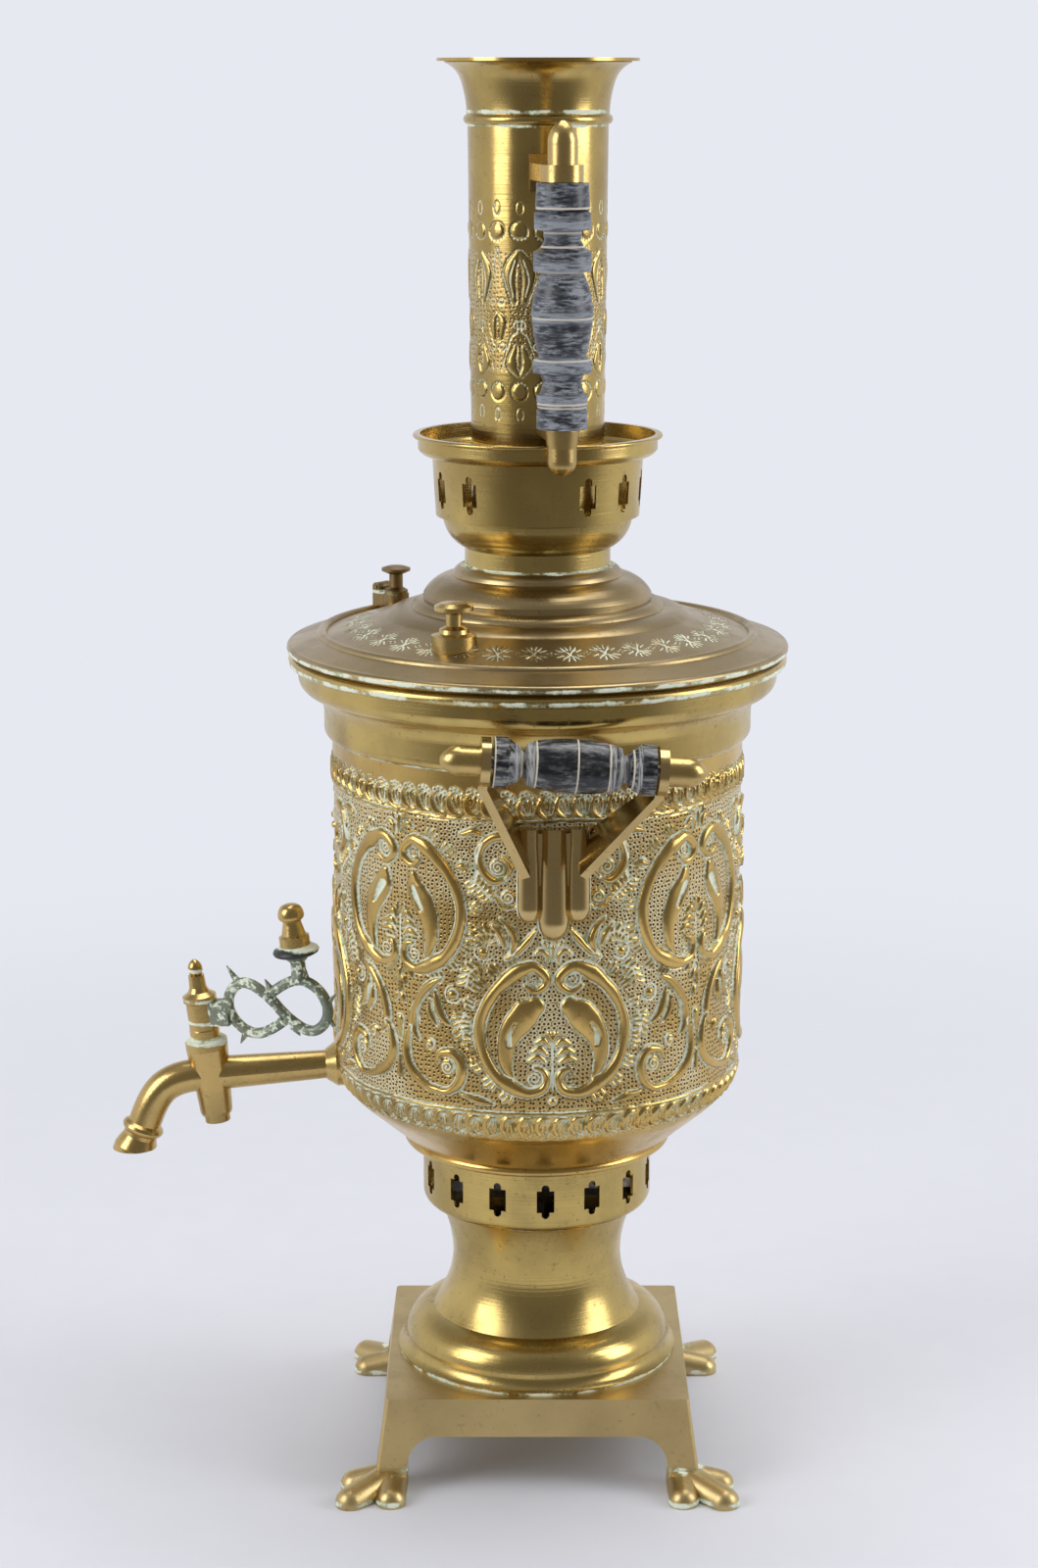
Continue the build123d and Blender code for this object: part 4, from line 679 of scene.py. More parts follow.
class Sheet:
    """A flat pattern that repeats round a sheet: heights, salts and punched ground, in millimetres."""

    def __init__(self, width: float, low: float, high: float, step: float, mirrored: bool) -> None:
        """Lay out an empty pattern.

        Args:
            width: Width of the repeat, or of half the repeat where it is mirrored.
            low: The lowest level.
            high: The highest level.
            step: Spacing of the pattern's points.
            mirrored: Whether every second repeat is turned over.
        """
        self.width, self.low, self.step, self.mirrored = width, low, step, mirrored
        self.margin = 6.0
        self.x = np.arange(-self.margin, width + self.margin + step, step)
        self.y = np.arange(low, high + step, step)
        shape = (len(self.y), len(self.x))
        self.height = np.zeros(shape)
        self.deposit = np.zeros(shape)
        self.ground = np.zeros(shape)

    def window(self, low: Point, high: Point) -> tuple[slice, slice]:
        """The rows and columns inside a box."""
        columns = np.searchsorted(self.x, (low[0], high[0]))
        rows = np.searchsorted(self.y, (low[1], high[1]))
        return slice(rows[0], rows[1]), slice(columns[0], columns[1])

    def reach(self, path: np.ndarray, widths: Sequence[float], pad: float) -> tuple | None:
        """How far each point near a line lies from it.

        Args:
            path: The line's points.
            widths: Half widths, spread evenly along the line.
            pad: How far past the widest place to look.
        Returns:
            The window, the distances and the half widths there, or None if the line is off the sheet.
        """
        half = np.interp(np.linspace(0, 1, len(path)), np.linspace(0, 1, len(widths)), widths)
        edge = float(half.max()) + pad
        box = self.window(tuple(path.min(axis=0) - edge), tuple(path.max(axis=0) + edge))
        xs, ys = np.meshgrid(self.x[box[1]], self.y[box[0]])
        if not xs.size:
            return None
        best = np.full(xs.shape, 1e9)
        wide = np.zeros(xs.shape)
        for start, end, first, last in zip(path, path[1:], half, half[1:]):
            dx, dy = end - start
            along = ((xs - start[0]) * dx + (ys - start[1]) * dy) / max(dx * dx + dy * dy, 1e-9)
            share = np.clip(along, 0, 1)
            away = np.hypot(xs - start[0] - share * dx, ys - start[1] - share * dy)
            nearer = away < best
            best = np.where(nearer, away, best)
            wide = np.where(nearer, first + (last - first) * share, wide)
        return box, best, np.maximum(wide, 0.05)

    def raise_line(
        self, points: Sequence[Point], widths: Sequence[float], height: float, rim: float = 1.0
    ) -> None:
        """Emboss a rounded ridge along a line, with salts along its foot.

        Args:
            points: The line, a few points.
            widths: Half widths, spread evenly along it.
            height: How far it stands up.
            rim: How strong the salts at its foot are.
        """
        found = self.reach(smooth_path(points), widths, 1.6)
        if found is None:
            return
        box, away, wide = found
        share = away / wide
        dome = height * np.sqrt(np.clip(1 - share**2, 0, 1)) * np.clip(wide / wide.max(), 0.25, 1) ** 0.5
        inside = share < 1
        self.height[box] = np.where(inside, np.maximum(self.height[box], dome), self.height[box])
        foot = rim * np.exp(-(((away - wide - 0.25) / 0.42) ** 2))
        self.deposit[box] = np.where(inside, self.deposit[box] * (share > 0.9), self.deposit[box])
        self.deposit[box] = np.maximum(self.deposit[box], foot)
        self.ground[box] *= np.clip((away - wide) / 0.3, 0, 1)
        self.height[box] -= 0.35 * np.exp(-(((away - wide - 0.3) / 0.45) ** 2))

    def sink_line(
        self, points: Sequence[Point], widths: Sequence[float], depth: float, salts: float = 1.0
    ) -> None:
        """Chase a groove along a line and fill it with salts."""
        found = self.reach(smooth_path(points), widths, 0.6)
        if found is None:
            return
        box, away, wide = found
        cut = np.clip(1 - (away / wide) ** 2, 0, 1)
        self.height[box] -= depth * cut
        self.deposit[box] = np.maximum(self.deposit[box] * (1 - 0.5 * cut), salts * np.sqrt(cut))

    def boss(self, centre: Point, radius: float, height: float, rim: float = 1.0) -> None:
        """Emboss a round boss."""
        self.raise_line([centre, (centre[0] + DOT, centre[1])], [radius, radius], height, rim)

    def dot(self, centre: Point, radius: float, depth: float, salts: float = 1.0) -> None:
        """Punch a round dot and fill it with salts."""
        self.sink_line([centre, (centre[0] + DOT, centre[1])], [radius, radius], depth, salts)

    def curl(self, centre: Point, radius: float, turns: float, clockwise: bool) -> None:
        """Chase a spiral line inside a volute."""
        sweep = -360 * turns if clockwise else 360 * turns
        self.sink_line(volute(centre, radius, 0.5, 90, sweep, 26), [0.5, 0.45, 0.4], 0.55)

    def sample(self, across: np.ndarray, level: np.ndarray) -> Surface:
        """Read the pattern where the sheet needs it.

        Args:
            across: Distance round the sheet from the front, in millimetres.
            level: Height in millimetres.
        Returns:
            The surface there; heights are in millimetres.
        """
        if self.mirrored:
            place = np.abs((across + self.width) % (2 * self.width) - self.width)
        else:
            place = across % self.width
        gx = (place - self.x[0]) / self.step
        gy = (level - self.y[0]) / self.step
        valid = (gy >= 0) & (gy <= len(self.y) - 1.001)
        gx = np.clip(gx, 0, len(self.x) - 1.001)
        gy = np.clip(gy, 0, len(self.y) - 1.001)
        i, j = gy.astype(int), gx.astype(int)
        fi, fj = gy - i, gx - j
        read = []
        for grid in (self.height, self.deposit, self.ground):
            top = grid[i, j] * (1 - fj) + grid[i, j + 1] * fj
            low = grid[i + 1, j] * (1 - fj) + grid[i + 1, j + 1] * fj
            read.append(np.where(valid, top * (1 - fi) + low * fi, 0.0))
        return Surface(*read)


def wander(turns: np.ndarray, level: np.ndarray, seed: int, amount: float, waves: float) -> np.ndarray:
    """Smooth hand-made unevenness round a sheet.

    Args:
        turns: Turn from the front, in radians.
        level: Height in millimetres.
        seed: Picks the waves.
        amount: Size of the result.
        waves: Roughly how many waves go round.
    Returns:
        A value for each point, between about -amount and amount.
    """
    draw = np.random.default_rng(seed)
    total = np.zeros(turns.shape)
    for _ in range(5):
        rounds = draw.integers(max(1, int(waves / 2)), int(waves * 1.5) + 2)
        total += np.sin(turns * rounds + level * draw.uniform(-0.06, 0.06) + draw.uniform(0, 6.28))
    return total * amount / 5


@dataclass(frozen=True)
class Leaf:
    """The leaf inside half a medallion, from its centre: its middle line, its half widths and its slot."""

    path: tuple[Point, ...]
    widths: tuple[float, ...]
    slot: tuple[Point, ...]
    slot_widths: tuple[float, ...]


BROAD_LEAF = Leaf(
    path=(
        (8.6, 11.8), (13.0, 8.3), (17.5, 3.3), (21.3, -2.5), (23.6, -9.0), (23.9, -15.5), (22.5, -21.0),
        (20.4, -26.0)
    ),
    widths=(4.9, 7.4, 7.0, 5.9, 4.4, 3.5, 2.5, 1.4),
    slot=((18.5, 3.4), (21.0, -0.5), (21.8, -4.4), (21.5, -7.4)),
    slot_widths=(0.4, 1.0, 1.7, 1.5),
)
SLIM_LEAF = Leaf(
    path=((9.3, 14.8), (10.8, 8.5), (14.8, 2.0), (18.8, -5.5), (20.2, -13.0), (19.4, -20.0), (17.4, -26.0)),
    widths=(2.2, 5.6, 6.2, 5.2, 3.7, 2.5, 1.3),
    slot=((9.8, 8.2), (12.6, 3.2), (15.5, -1.6)),
    slot_widths=(2.3, 2.3, 1.5),
)


@dataclass(frozen=True)
class Body:
    """The embossed body: a thin round-bottomed sheet with eight scrolled medallions and two shell borders."""

    radius: float = 105.4
    low_border: float = 213.0
    high_border: float = 361.7
    medallion_low: float = 256.6
    medallion_high: float = 315.6
    shells: int = 74
    columns: int = 1060
    fine: float = 0.00065
    coarse: float = 0.005
    tap_turn: float = -math.pi / 2
    tap_level: float = 204.3
    tap_calm: float = 16.0
    tap_fade: float = 6.0
    edge_fade: float = 3.0
    chased: Point = (196.0, 383.0)
    outside: Triple = (0.0705, 0.1045, 0.235)

    def medallion(self, sheet: Sheet, across: float, level: float, side: float, leaf: Leaf) -> None:
        """Emboss one half of a medallion: a crescent band that ends in two volutes, with a leaf inside.

        Args:
            sheet: The pattern to work on.
            across: Where its middle line is.
            level: Where its centre is.
            side: 1 for the half to the right of the middle line, -1 for the left half.
            leaf: The leaf inside the band.
        """

        def at(points: Sequence[Point]) -> list[Point]:
            """Carry points of the medallion onto the sheet."""
            return [(across + side * x, level + y) for x, y in points]

        for angle in range(-58, 63, 15):
            for tilt in (-3.4, 0.0, 3.4):
                turn = math.radians(angle + tilt)
                ray = (math.cos(turn), math.sin(turn))
                ends = [(reach * ray[0], (reach - 2.5) * ray[1]) for reach in (41.4, 46.2 - abs(tilt) * 0.4)]
                sheet.raise_line(at(ends), [0.5, 0.95], 0.5, 0.75)
        sheet.raise_line(at(leaf.path), leaf.widths, 1.9, 1.0)
        sheet.sink_line(at(leaf.slot), leaf.slot_widths, 1.7)
        band = [(13.6, 22.6), (8.7, 19.6), (3.6, 22.6), (3.3, 27.4), (8.9, 32.2), (14.2, 31.2), (19.5, 28.3)]
        band += [(25.0, 23.6)]
        band += [(29.6, 18.4), (33.6, 11.3), (36.1, 3.7), (36.5, -3.7), (35.2, -11.3), (32.1, -18.8),
            (27.6, -24.7)]
        band += [(21.8, -28.6), (16.5, -31.4), (10.7, -32.6), (5.0, -30.6), (2.9, -25.5), (4.4, -21.2),
            (9.0, -19.4)]
        widths = [1.0, 1.7, 1.9, 2.3, 2.7, 3.5, 3.9, 3.2, 2.8, 2.6, 2.7]
        widths += [2.8, 2.8, 2.9, 3.2, 3.8, 3.3, 2.4, 2.1, 1.8, 1.5, 0.8]
        sheet.raise_line(at(band), widths, 2.4, 1.0)
        for centre, way in (((9.2, 25.6), 1), ((8.9, -25.5), -1)):
            sheet.curl(at([centre])[0], 4.4, 2.2, side * way > 0)
        for petal in (
            ((1.8, -8.0), (4.4, -5.2), (8.2, -7.2)),
            ((2.6, -12.6), (6.0, -9.8), (10.4, -11.6)),
            ((3.2, -16.6), (7.2, -14.0), (11.8, -15.8)),
        ):
            sheet.raise_line(at(petal), [0.7, 1.6, 0.7], 1.0, 1.0)
        sheet.raise_line(at([(0.3, -5.6), (1.6, -1.6)]), [0.6, 1.2], 0.9, 1.0)
        sheet.sink_line(at([(0.0, -7.5), (0.0, -18.0)]), [0.8, 0.6], 0.5)
        sheet.sink_line(at([(0.0, -18.5), (0.0, -32.0)]), [0.9, 0.4], 0.3, 0.9)
        sheet.raise_line(at([(2.6, 34.8), (3.0, 38.4), (6.0, 40.6), (9.0, 38.6)]), [0.6, 1.1, 1.2, 0.6], 0.9)
        sheet.raise_line(at([(0.0, 36.0), (0.0, 42.6)]), [0.5, 1.2], 0.9)
        sheet.raise_line(at([(2.4, 41.6), (4.2, 44.6)]), [0.5, 1.0], 0.8)
        sheet.boss(at([(0.0, -36.8)])[0], 1.8, 0.9)

    def field_pattern(self) -> Sheet:
        """Emboss the wide field between the borders.

        Returns:
            The pattern from a low medallion's middle line to a high one's.
        """
        width = math.pi * self.radius / 4
        sheet = Sheet(width, self.low_border - 8, self.high_border + 6, 0.35, mirrored=True)
        zone = (sheet.y > self.low_border) & (sheet.y < self.high_border)
        sheet.ground[zone] = 1.0
        sheet.height[zone] = -0.45
        high = width
        serrated = (
            ((26.5, 300.0), (30.0, 304.5), (36.0, 303.5), (40.5, 297.0)),
            ((36.0, 288.0), (41.5, 284.5), (43.5, 277.0)),
            ((44.5, 262.5), (46.5, 257.5), (45.0, 250.5)),
            ((30.0, 322.0), (34.5, 326.5), (39.0, 330.5)),
        )
        tooth = ((1.0, 0.0), (4.2, 1.6))
        for leaf in serrated:
            path = smooth_path(leaf, 5)
            sheet.raise_line(leaf, [0.8, 2.2, 1.9, 0.6], 0.7, 0.8)
            for here, ahead in zip(path[1:-1:2], path[2::2]):
                way = (ahead - here) / max(float(np.linalg.norm(ahead - here)), 1e-6)
                for hand in (-1, 1):
                    side_way = hand * np.array([-way[1], way[0]])
                    ends = [tuple(here + reach * side_way + lag * way) for reach, lag in tooth]
                    sheet.raise_line(ends, [1.0, 0.8], 0.6, 0.8)
        self.medallion(sheet, 0.0, self.medallion_low, 1.0, BROAD_LEAF)
        self.medallion(sheet, high, self.medallion_high, -1.0, SLIM_LEAF)
        scrolls = (
            (
                [(15.0, 352.0), (25.0, 354.5), (33.0, 351.0), (36.5, 344.0), (34.5, 336.5), (29.0, 331.6),
                (22.5, 333.5)],
                2.2,
            ),
            ([(22.5, 333.5), (20.6, 339.0), (24.0, 344.0)], 1.5),
            ([(16.5, 326.0), (18.2, 319.6), (24.5, 318.6), (28.0, 323.5)], 1.1),
            ([(34.0, 354.2), (40.0, 355.8), (46.5, 354.2)], 2.0),
            ([(41.5, 338.0), (45.5, 338.4), (49.0, 337.4)], 1.7),
            ([(8.0, 308.5), (12.5, 302.0), (17.5, 296.8), (23.0, 293.0)], 1.9),
            ([(26.0, 313.0), (20.8, 307.5), (18.6, 301.5), (20.5, 296.0)], 2.1),
            ([(30.0, 309.5), (26.0, 305.0), (23.8, 299.0)], 1.7),
            ([(30.0, 217.8), (37.0, 219.2), (46.0, 221.6)], 2.3),
            (
                [(57.0, 279.5), (62.5, 276.5), (67.5, 271.8), (71.5, 265.5), (74.0, 258.5), (74.2, 252.0),
                (71.0, 247.0)],
                2.2,
            ),
            ([(60.8, 272.5), (59.6, 266.0), (57.0, 260.4), (52.5, 256.6)], 2.4),
            ([(64.0, 268.0), (63.5, 261.5), (60.0, 255.6)], 1.9),
        )
        for path, wide in scrolls:
            sheet.raise_line(path, [0.6, *[wide] * (len(path) - 2), 0.9], 1.8)
        foot = [(75.0, 253.0), (77.8, 246.5), (78.6, 239.0), (76.3, 231.5), (70.5, 226.0), (62.5, 222.4),
            (54.5, 221.6)]
        foot += [(48.2, 225.4), (45.6, 232.0), (46.8, 238.6), (52.0, 242.2), (58.0, 240.6), (59.6, 236.0)]
        sheet.raise_line(foot, [0.7, 1.8, 2.4, 2.6, 2.5, 2.0, 1.9, 2.3, 2.5, 2.5, 2.3, 1.6, 0.7], 2.1)
        for centre, radius, turns in (
            ((26.8, 338.6), 4.4, 2.2),
            ((22.2, 323.6), 3.6, 1.8),
            ((53.6, 234.4), 4.2, 2.0),
            ((64.0, 244.6), 3.4, 1.2),
        ):
            sheet.boss(centre, radius, 0.9, 0.4)
            sheet.curl(centre, radius, turns, centre[0] < 40)
        for groove in (
            [(23.6, 309.5), (21.6, 304.0), (22.0, 299.0)],
            [(68.6, 266.0), (70.8, 261.0), (70.4, 255.0)],
            [(61.4, 268.0), (60.6, 262.0), (58.0, 257.5)],
            [(34.6, 351.0), (37.6, 343.0), (38.4, 335.0), (41.5, 329.0)],
            [(12.0, 312.0), (16.0, 318.0), (24.0, 317.0)],
        ):
            sheet.sink_line(groove, [0.5, 1.1, 0.4], 0.8)
        for centre, radius in (((34.6, 295.4), 2.5), ((50.6, 272.0), 2.5), ((12.0, 340.0), 2.0)):
            ring = volute(centre, radius + 2.1, radius + 2.1, -160, 250, 12)
            sheet.sink_line(ring, [0.4, 0.7, 0.4], 0.4)
            sheet.boss(centre, radius, 1.8)
        tips = (((0.6, 279.0), (4.4, 273.6)), ((0.4, 270.0), (3.4, 264.6)), ((4.2, 282.6), (8.2, 278.4)))
        for hand in (-1.0, 1.0):
            for tip in tips:
                sheet.raise_line([(high + hand * x, z) for x, z in tip], [0.6, 1.5, 0.6], 0.9)
        sheet.raise_line([(high, 281.0), (high, 268.0)], [0.9, 0.5], 0.8)
        sheet.raise_line([(high, 255.5), (high, 246.0)], [2.2, 0.8], 0.9)
        sheet.raise_line([(high, 236.0), (high, 226.5)], [0.6, 1.9], 1.2)
        for line in (self.low_border, self.high_border):
            sheet.raise_line([(-sheet.margin, line), (high + sheet.margin, line)], [0.8, 0.8], 0.5, 0.9)
        return sheet

    def shell_pattern(self, line: float, way: float) -> Sheet:
        """Emboss one shell of a border.

        Args:
            line: The level of the border's line.
            way: 1 where the shells stand above the line, -1 where they hang below it.
        Returns:
            The pattern of one shell.
        """
        pitch = 2 * math.pi * self.radius / self.shells
        ends = sorted((line + way * 0.8, line + way * 15.6))
        sheet = Sheet(pitch, ends[0], ends[1], 0.3, mirrored=False)
        for shift in (-pitch, 0.0, pitch):

            def at(points: Sequence[Point], start: float = shift) -> list[Point]:
                """Carry points of a shell onto the sheet."""
                return [(start + x, line + way * y) for x, y in points]

            scroll = at([(8.4, 1.4), (4.4, 2.0), (1.6, 4.6), (0.9, 8.2), (2.2, 11.4), (4.6, 12.6)])
            sheet.raise_line(scroll, [0.4, 1.0, 1.2, 1.2, 0.9, 0.4], 1.3, 0.55)
            for start, tip in (((5.4, 4.0), (3.6, 9.6)), ((6.4, 4.2), (5.8, 10.4)), ((7.3, 4.0), (8.0, 9.6))):
                sheet.raise_line(at([start, tip]), [0.35, 0.95], 0.8, 0.75)
            for bead in ((2.6, 13.6), (4.6, 14.2), (6.6, 13.4), (8.2, 12.0)):
                sheet.boss(at([bead])[0], 0.75, 0.5, 0.8)
        return sheet

    def build(self) -> bpy.types.Object:
        """Build the sheet with its pattern.

        Returns:
            The new object.
        """
        panel = self.field_pattern()
        upper = self.shell_pattern(self.high_border, 1.0)
        lower = self.shell_pattern(self.low_border, -1.0)
        low, high = self.chased

        def chasing(turns: np.ndarray, r: np.ndarray, z: np.ndarray) -> Surface:
            """The surface at each point of the sheet."""
            level = z / MM
            across = turns * self.radius
            across = across + wander(turns, level, 3, 0.9, 14) + wander(turns, level, 4, 0.35, 60)
            lifted = level + wander(turns, level, 5, 0.7, 12) + wander(turns, level, 6, 0.3, 70)
            parts = [sheet.sample(across, lifted) for sheet in (panel, upper, lower)]
            height = sum(part.height for part in parts)
            height = height + wander(turns, level, 7, 0.12, 9)
            deposit = np.maximum.reduce([part.deposit for part in parts])
            off = np.hypot((turns - self.tap_turn) * self.radius, level - self.tap_level)
            calm = np.clip((off - self.tap_calm) / self.tap_fade, 0.0, 1.0)
            above = np.clip((level - low) / self.edge_fade, 0, 1)
            below = np.clip((high - level) / self.edge_fade, 0, 1)
            calm = calm * (above * below)
            return Surface(height * calm * MM, deposit * calm, parts[0].ground * calm)

        def step(r: float, z: float) -> float:
            """Spacing along the outline: fine on the chased outside, coarse elsewhere."""
            least, wall, bend = self.outside
            chased = r > least and z > low * MM and r > wall - max(0.0, bend - z) * 1.5
            return self.fine if chased else self.coarse

        line = divide(cut_outline("body_shell", turn=-67.5), step)
        made = turn_mesh("body_sheet", line, self.columns, chasing, crease=60.0)
        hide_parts("body_shell")
        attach(made, "base")
        made.data.materials.append(
            Brass(
                "embossed_brass",
                bright=(0.67, 0.455, 0.145),
                dull=(0.47, 0.325, 0.11),
                stain=(0.13, 0.07, 0.02),
                age=0.6,
                gloss=0.20,
                tarnish_gloss=0.38,
                deposit=Deposit.CHASED,
                punched_radius=self.radius * MM,
            ).material()
        )
        log.info("body sheet: %d faces", len(made.data.polygons))
        return made


@dataclass(frozen=True)
class Lid:
    """The stepped lid, its field stamped with stars, bows and small flowers."""

    repeats: int = 33
    inner: float = 80.0
    outer: float = 105.5
    middle: float = 92.5
    columns: int = 1180
    field_level: float = 0.4375
    fine: float = 0.0005
    coarse: float = 0.0012
    bow: tuple[Point, ...] = ((-3.6, 4.6), (-0.6, 1.8), (1.4, -2.0), (4.0, -4.2))

    def pattern(self) -> Sheet:
        """Chase one star with its bows, and half a flower each side of it.

        Returns:
            The pattern of one repeat; its levels are radii.
        """
        pitch = 2 * math.pi * self.middle / self.repeats
        sheet = Sheet(pitch, self.inner, self.outer, 0.25, mirrored=False)
        centre = (pitch / 2, self.middle)
        for hand in (-1, 1):
            bow = [(centre[0] + hand * x, centre[1] + y) for x, y in self.bow]
            sheet.sink_line(bow, [0.35, 0.6, 0.55, 0.3], 0.35)
            for tilt in (12, 34, 62):
                for rise in (-1, 1):
                    ray = (math.sin(math.radians(tilt)) * hand, math.cos(math.radians(tilt)) * rise)
                    ends = [(centre[0] + s * ray[0], centre[1] + s * ray[1]) for s in (3.8, 7.4)]
                    sheet.sink_line(ends, [0.5, 0.4], 0.3, 1.0)
            for spot in ((0.0, 1.2), (0.0, -1.2), (1.7, 0.0), (-1.7, 0.0)):
                petal = (centre[0] + hand * pitch / 2 + spot[0], centre[1] + spot[1])
                sheet.dot(petal, 0.6, 0.3, 0.95)
            for reach in (2.6, 4.2):
                for way in (-1, 1):
                    start = centre[0] + hand * pitch / 2 + way * reach
                    ends = [(start, centre[1]), (start + way * 0.9, centre[1])]
                    sheet.sink_line(ends, [0.3, 0.25], 0.2, 0.8)
        return sheet

    def build(self) -> bpy.types.Object:
        """Build the lid.

        Returns:
            The new object.
        """
        sheet = self.pattern()

        def chasing(turns: np.ndarray, r: np.ndarray, z: np.ndarray) -> Surface:
            """The surface at each point of the lid; its underside stays plain."""
            reach = r / MM
            across = turns * self.middle + wander(turns, reach, 11, 0.5, 30)
            level = reach + wander(turns, reach, 12, 0.6, 26)
            found = sheet.sample(across, level)
            fade = 0.55 + 0.45 * np.clip(np.abs(np.sin(turns + 0.15)) * 1.3, 0, 1)
            keep = (z > self.field_level) & (reach > self.inner + 0.5) & (reach < self.outer - 0.5)
            return Surface(found.height * MM * keep, found.deposit * keep * fade, found.ground * 0.0)

        def step(r: float, z: float) -> float:
            """Spacing along the outline: fine on the stamped field."""
            stamped = self.inner * MM < r < self.outer * MM and z > self.field_level
            return self.fine if stamped else self.coarse

        line = divide(cut_outline("lid", turn=20.0), step)
        made = turn_mesh("lid_cover", line, self.columns, chasing, crease=40.0)
        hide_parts("lid")
        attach(made, "lid_body")
        made.data.materials.append(LID_BRASS.material())
        log.info("lid cover: %d faces", len(made.data.polygons))
        return made


@dataclass(frozen=True)
class Chimney:
    """The flue with its engraved band."""

    radius: float = 34.0
    low: float = 548.0
    high: float = 656.0
    repeats: int = 9
    columns: int = 540
    inner: float = 0.0334
    chased: Point = (0.545, 0.66)
    fine: float = 0.0006
    coarse: float = 0.004

    def pattern(self) -> Sheet:
        """Chase half of one panel of the band.

        Returns:
            The pattern, mirrored panel by panel.
        """
        half = math.pi * self.radius / self.repeats
        sheet = Sheet(half, self.low, self.high, 0.25, mirrored=True)
        for level, way in ((640.0, 1.0), (562.0, -1.0)):
            for across in (0.0, half):
                sheet.boss((across, level), 3.9, 0.5, 0.55)
                for angle in range(-150, -29, 24):
                    heading = math.radians(angle)
                    spot = (across + 4.6 * math.cos(heading), level + way * 4.6 * math.sin(heading))
                    sheet.dot(spot, 0.5, 0.3)
                oval = volute((across, level + way * 11.0), 3.2, 3.2, 0, 360, 13)
                thin = [(across + (x - across) * 0.55, y) for x, y in oval]
                sheet.sink_line(thin, [0.35, 0.35], 0.3)
        zig = [(0.6, 632.0), (3.0, 618.0), (half - 1.0, 594.0), (half - 4.5, 588.0), (2.0, 572.0)]
        path = smooth_path(zig, 9)
        for here, ahead in zip(path, path[1:]):
            for share in (0.0, 0.5):
                sheet.dot(tuple(here + (ahead - here) * share), 0.45, 0.3)
        for centre, radius in (((half - 1.2, 594.5), 1.9), ((3.0, 584.0), 1.9), ((2.4, 606.0), 1.5)):
            ring = volute(centre, radius, radius, 0, 360, 13)
            sheet.sink_line(ring, [0.35, 0.35], 0.3)
        sheet.raise_line([(half - 0.5, 629.0), (half - 5.0, 620.0), (half - 2.6, 606.0)],
            [1.5, 3.4, 1.2], 0.6, 0.6)
        sheet.sink_line([(half - 2.0, 626.0), (half - 4.6, 617.0), (half - 3.0, 608.0)],
            [0.4, 0.5, 0.3], 0.35)
        sheet.raise_line([(0.6, 600.0), (2.8, 596.0), (2.0, 588.0)], [0.8, 2.0, 0.8], 0.5, 0.6)
        sheet.raise_line([(half - 2.0, 584.0), (half - 4.0, 576.0), (half - 0.8, 570.0)],
            [0.8, 2.6, 0.8], 0.6, 0.6)
        sheet.ground[(sheet.y > 572) & (sheet.y < 630)] = 0.55
        sheet.ground *= sheet.height < 0.05
        return sheet

    def build(self) -> bpy.types.Object:
        """Build the flue.

        Returns:
            The new object.
        """
        sheet = self.pattern()
        low, high = self.chased

        def chasing(turns: np.ndarray, r: np.ndarray, z: np.ndarray) -> Surface:
            """The surface at each point of the flue."""
            level = z / MM
            across = turns * self.radius + wander(turns, level, 21, 0.5, 9)
            found = sheet.sample(across, level + wander(turns, level, 22, 0.6, 8))
            dents = wander(turns, level, 23, 0.10, 5)
            inside = (r < self.inner) | (z < low) | (z > high)
            height = np.where(inside, 0.0, (found.height + dents) * MM)
            return Surface(height, found.deposit * 0.9 * ~inside, found.ground * ~inside)

        def step(r: float, z: float) -> float:
            """Spacing along the outline: fine on the engraved band."""
            return self.fine if low < z < high and r > self.inner else self.coarse

        line = divide(cut_outline("chimney_tube"), step)
        made = turn_mesh("chimney_flue", line, self.columns, chasing, crease=50.0)
        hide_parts("chimney_tube")
        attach(made, "chimney")
        made.data.materials.append(CHIMNEY_BRASS.material())
        log.info("chimney flue: %d faces", len(made.data.polygons))
        return made


# --- Turned handles -------------------------------------------------------------------------------------
@dataclass(frozen=True)
class Grip:
    """One turned wooden grip, with fine grooves cut round it."""

    node: str
    body: str
    heading: Triple
    grooves: tuple[float, ...]
    groove_width: float
    rubbed: tuple[Point, ...]
    finish: Lacquer
    columns: int = 96
    spacing: float = 0.0004
    groove_depth: float = 0.35

    def build(self) -> bpy.types.Object:
        """Build the grip.

        Returns:
            The new object.
        """
        from_axis = node_axis(self.node, Vector(self.heading))
        line = divide(cut_outline(self.node, to_axis=from_axis.inverted()), lambda r, z: self.spacing)
        low, high = line[:, 1].min(), line[:, 1].max()
        outer = line[:, 0].max()

        def chasing(turns: np.ndarray, r: np.ndarray, z: np.ndarray) -> Surface:
            """Grooves round the grip at their shares of its length."""
            share = (z - low) / (high - low)
            depth = np.zeros(r.shape)
            for place in self.grooves:
                away = (share - place) * (high - low) / self.groove_width
                depth = np.maximum(depth, np.exp(-(away**2)))
            worn = np.zeros(r.shape)
            for place, width in self.rubbed:
                worn = np.maximum(worn, np.clip(2.0 - np.abs(share - place) / width * 2.0, 0.0, 1.0))
            outside = r > 0.45 * outer
            return Surface(-self.groove_depth * MM * depth * outside, depth * outside, worn * outside)

        made = turn_mesh(f"{self.node}_wood", line, self.columns, chasing, from_axis, crease=45.0)
        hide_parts(self.node)
        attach(made, self.body)
        made.data.materials.append(self.finish.material())
        log.info("%s: %d faces", made.name, len(made.data.polygons))
        return made


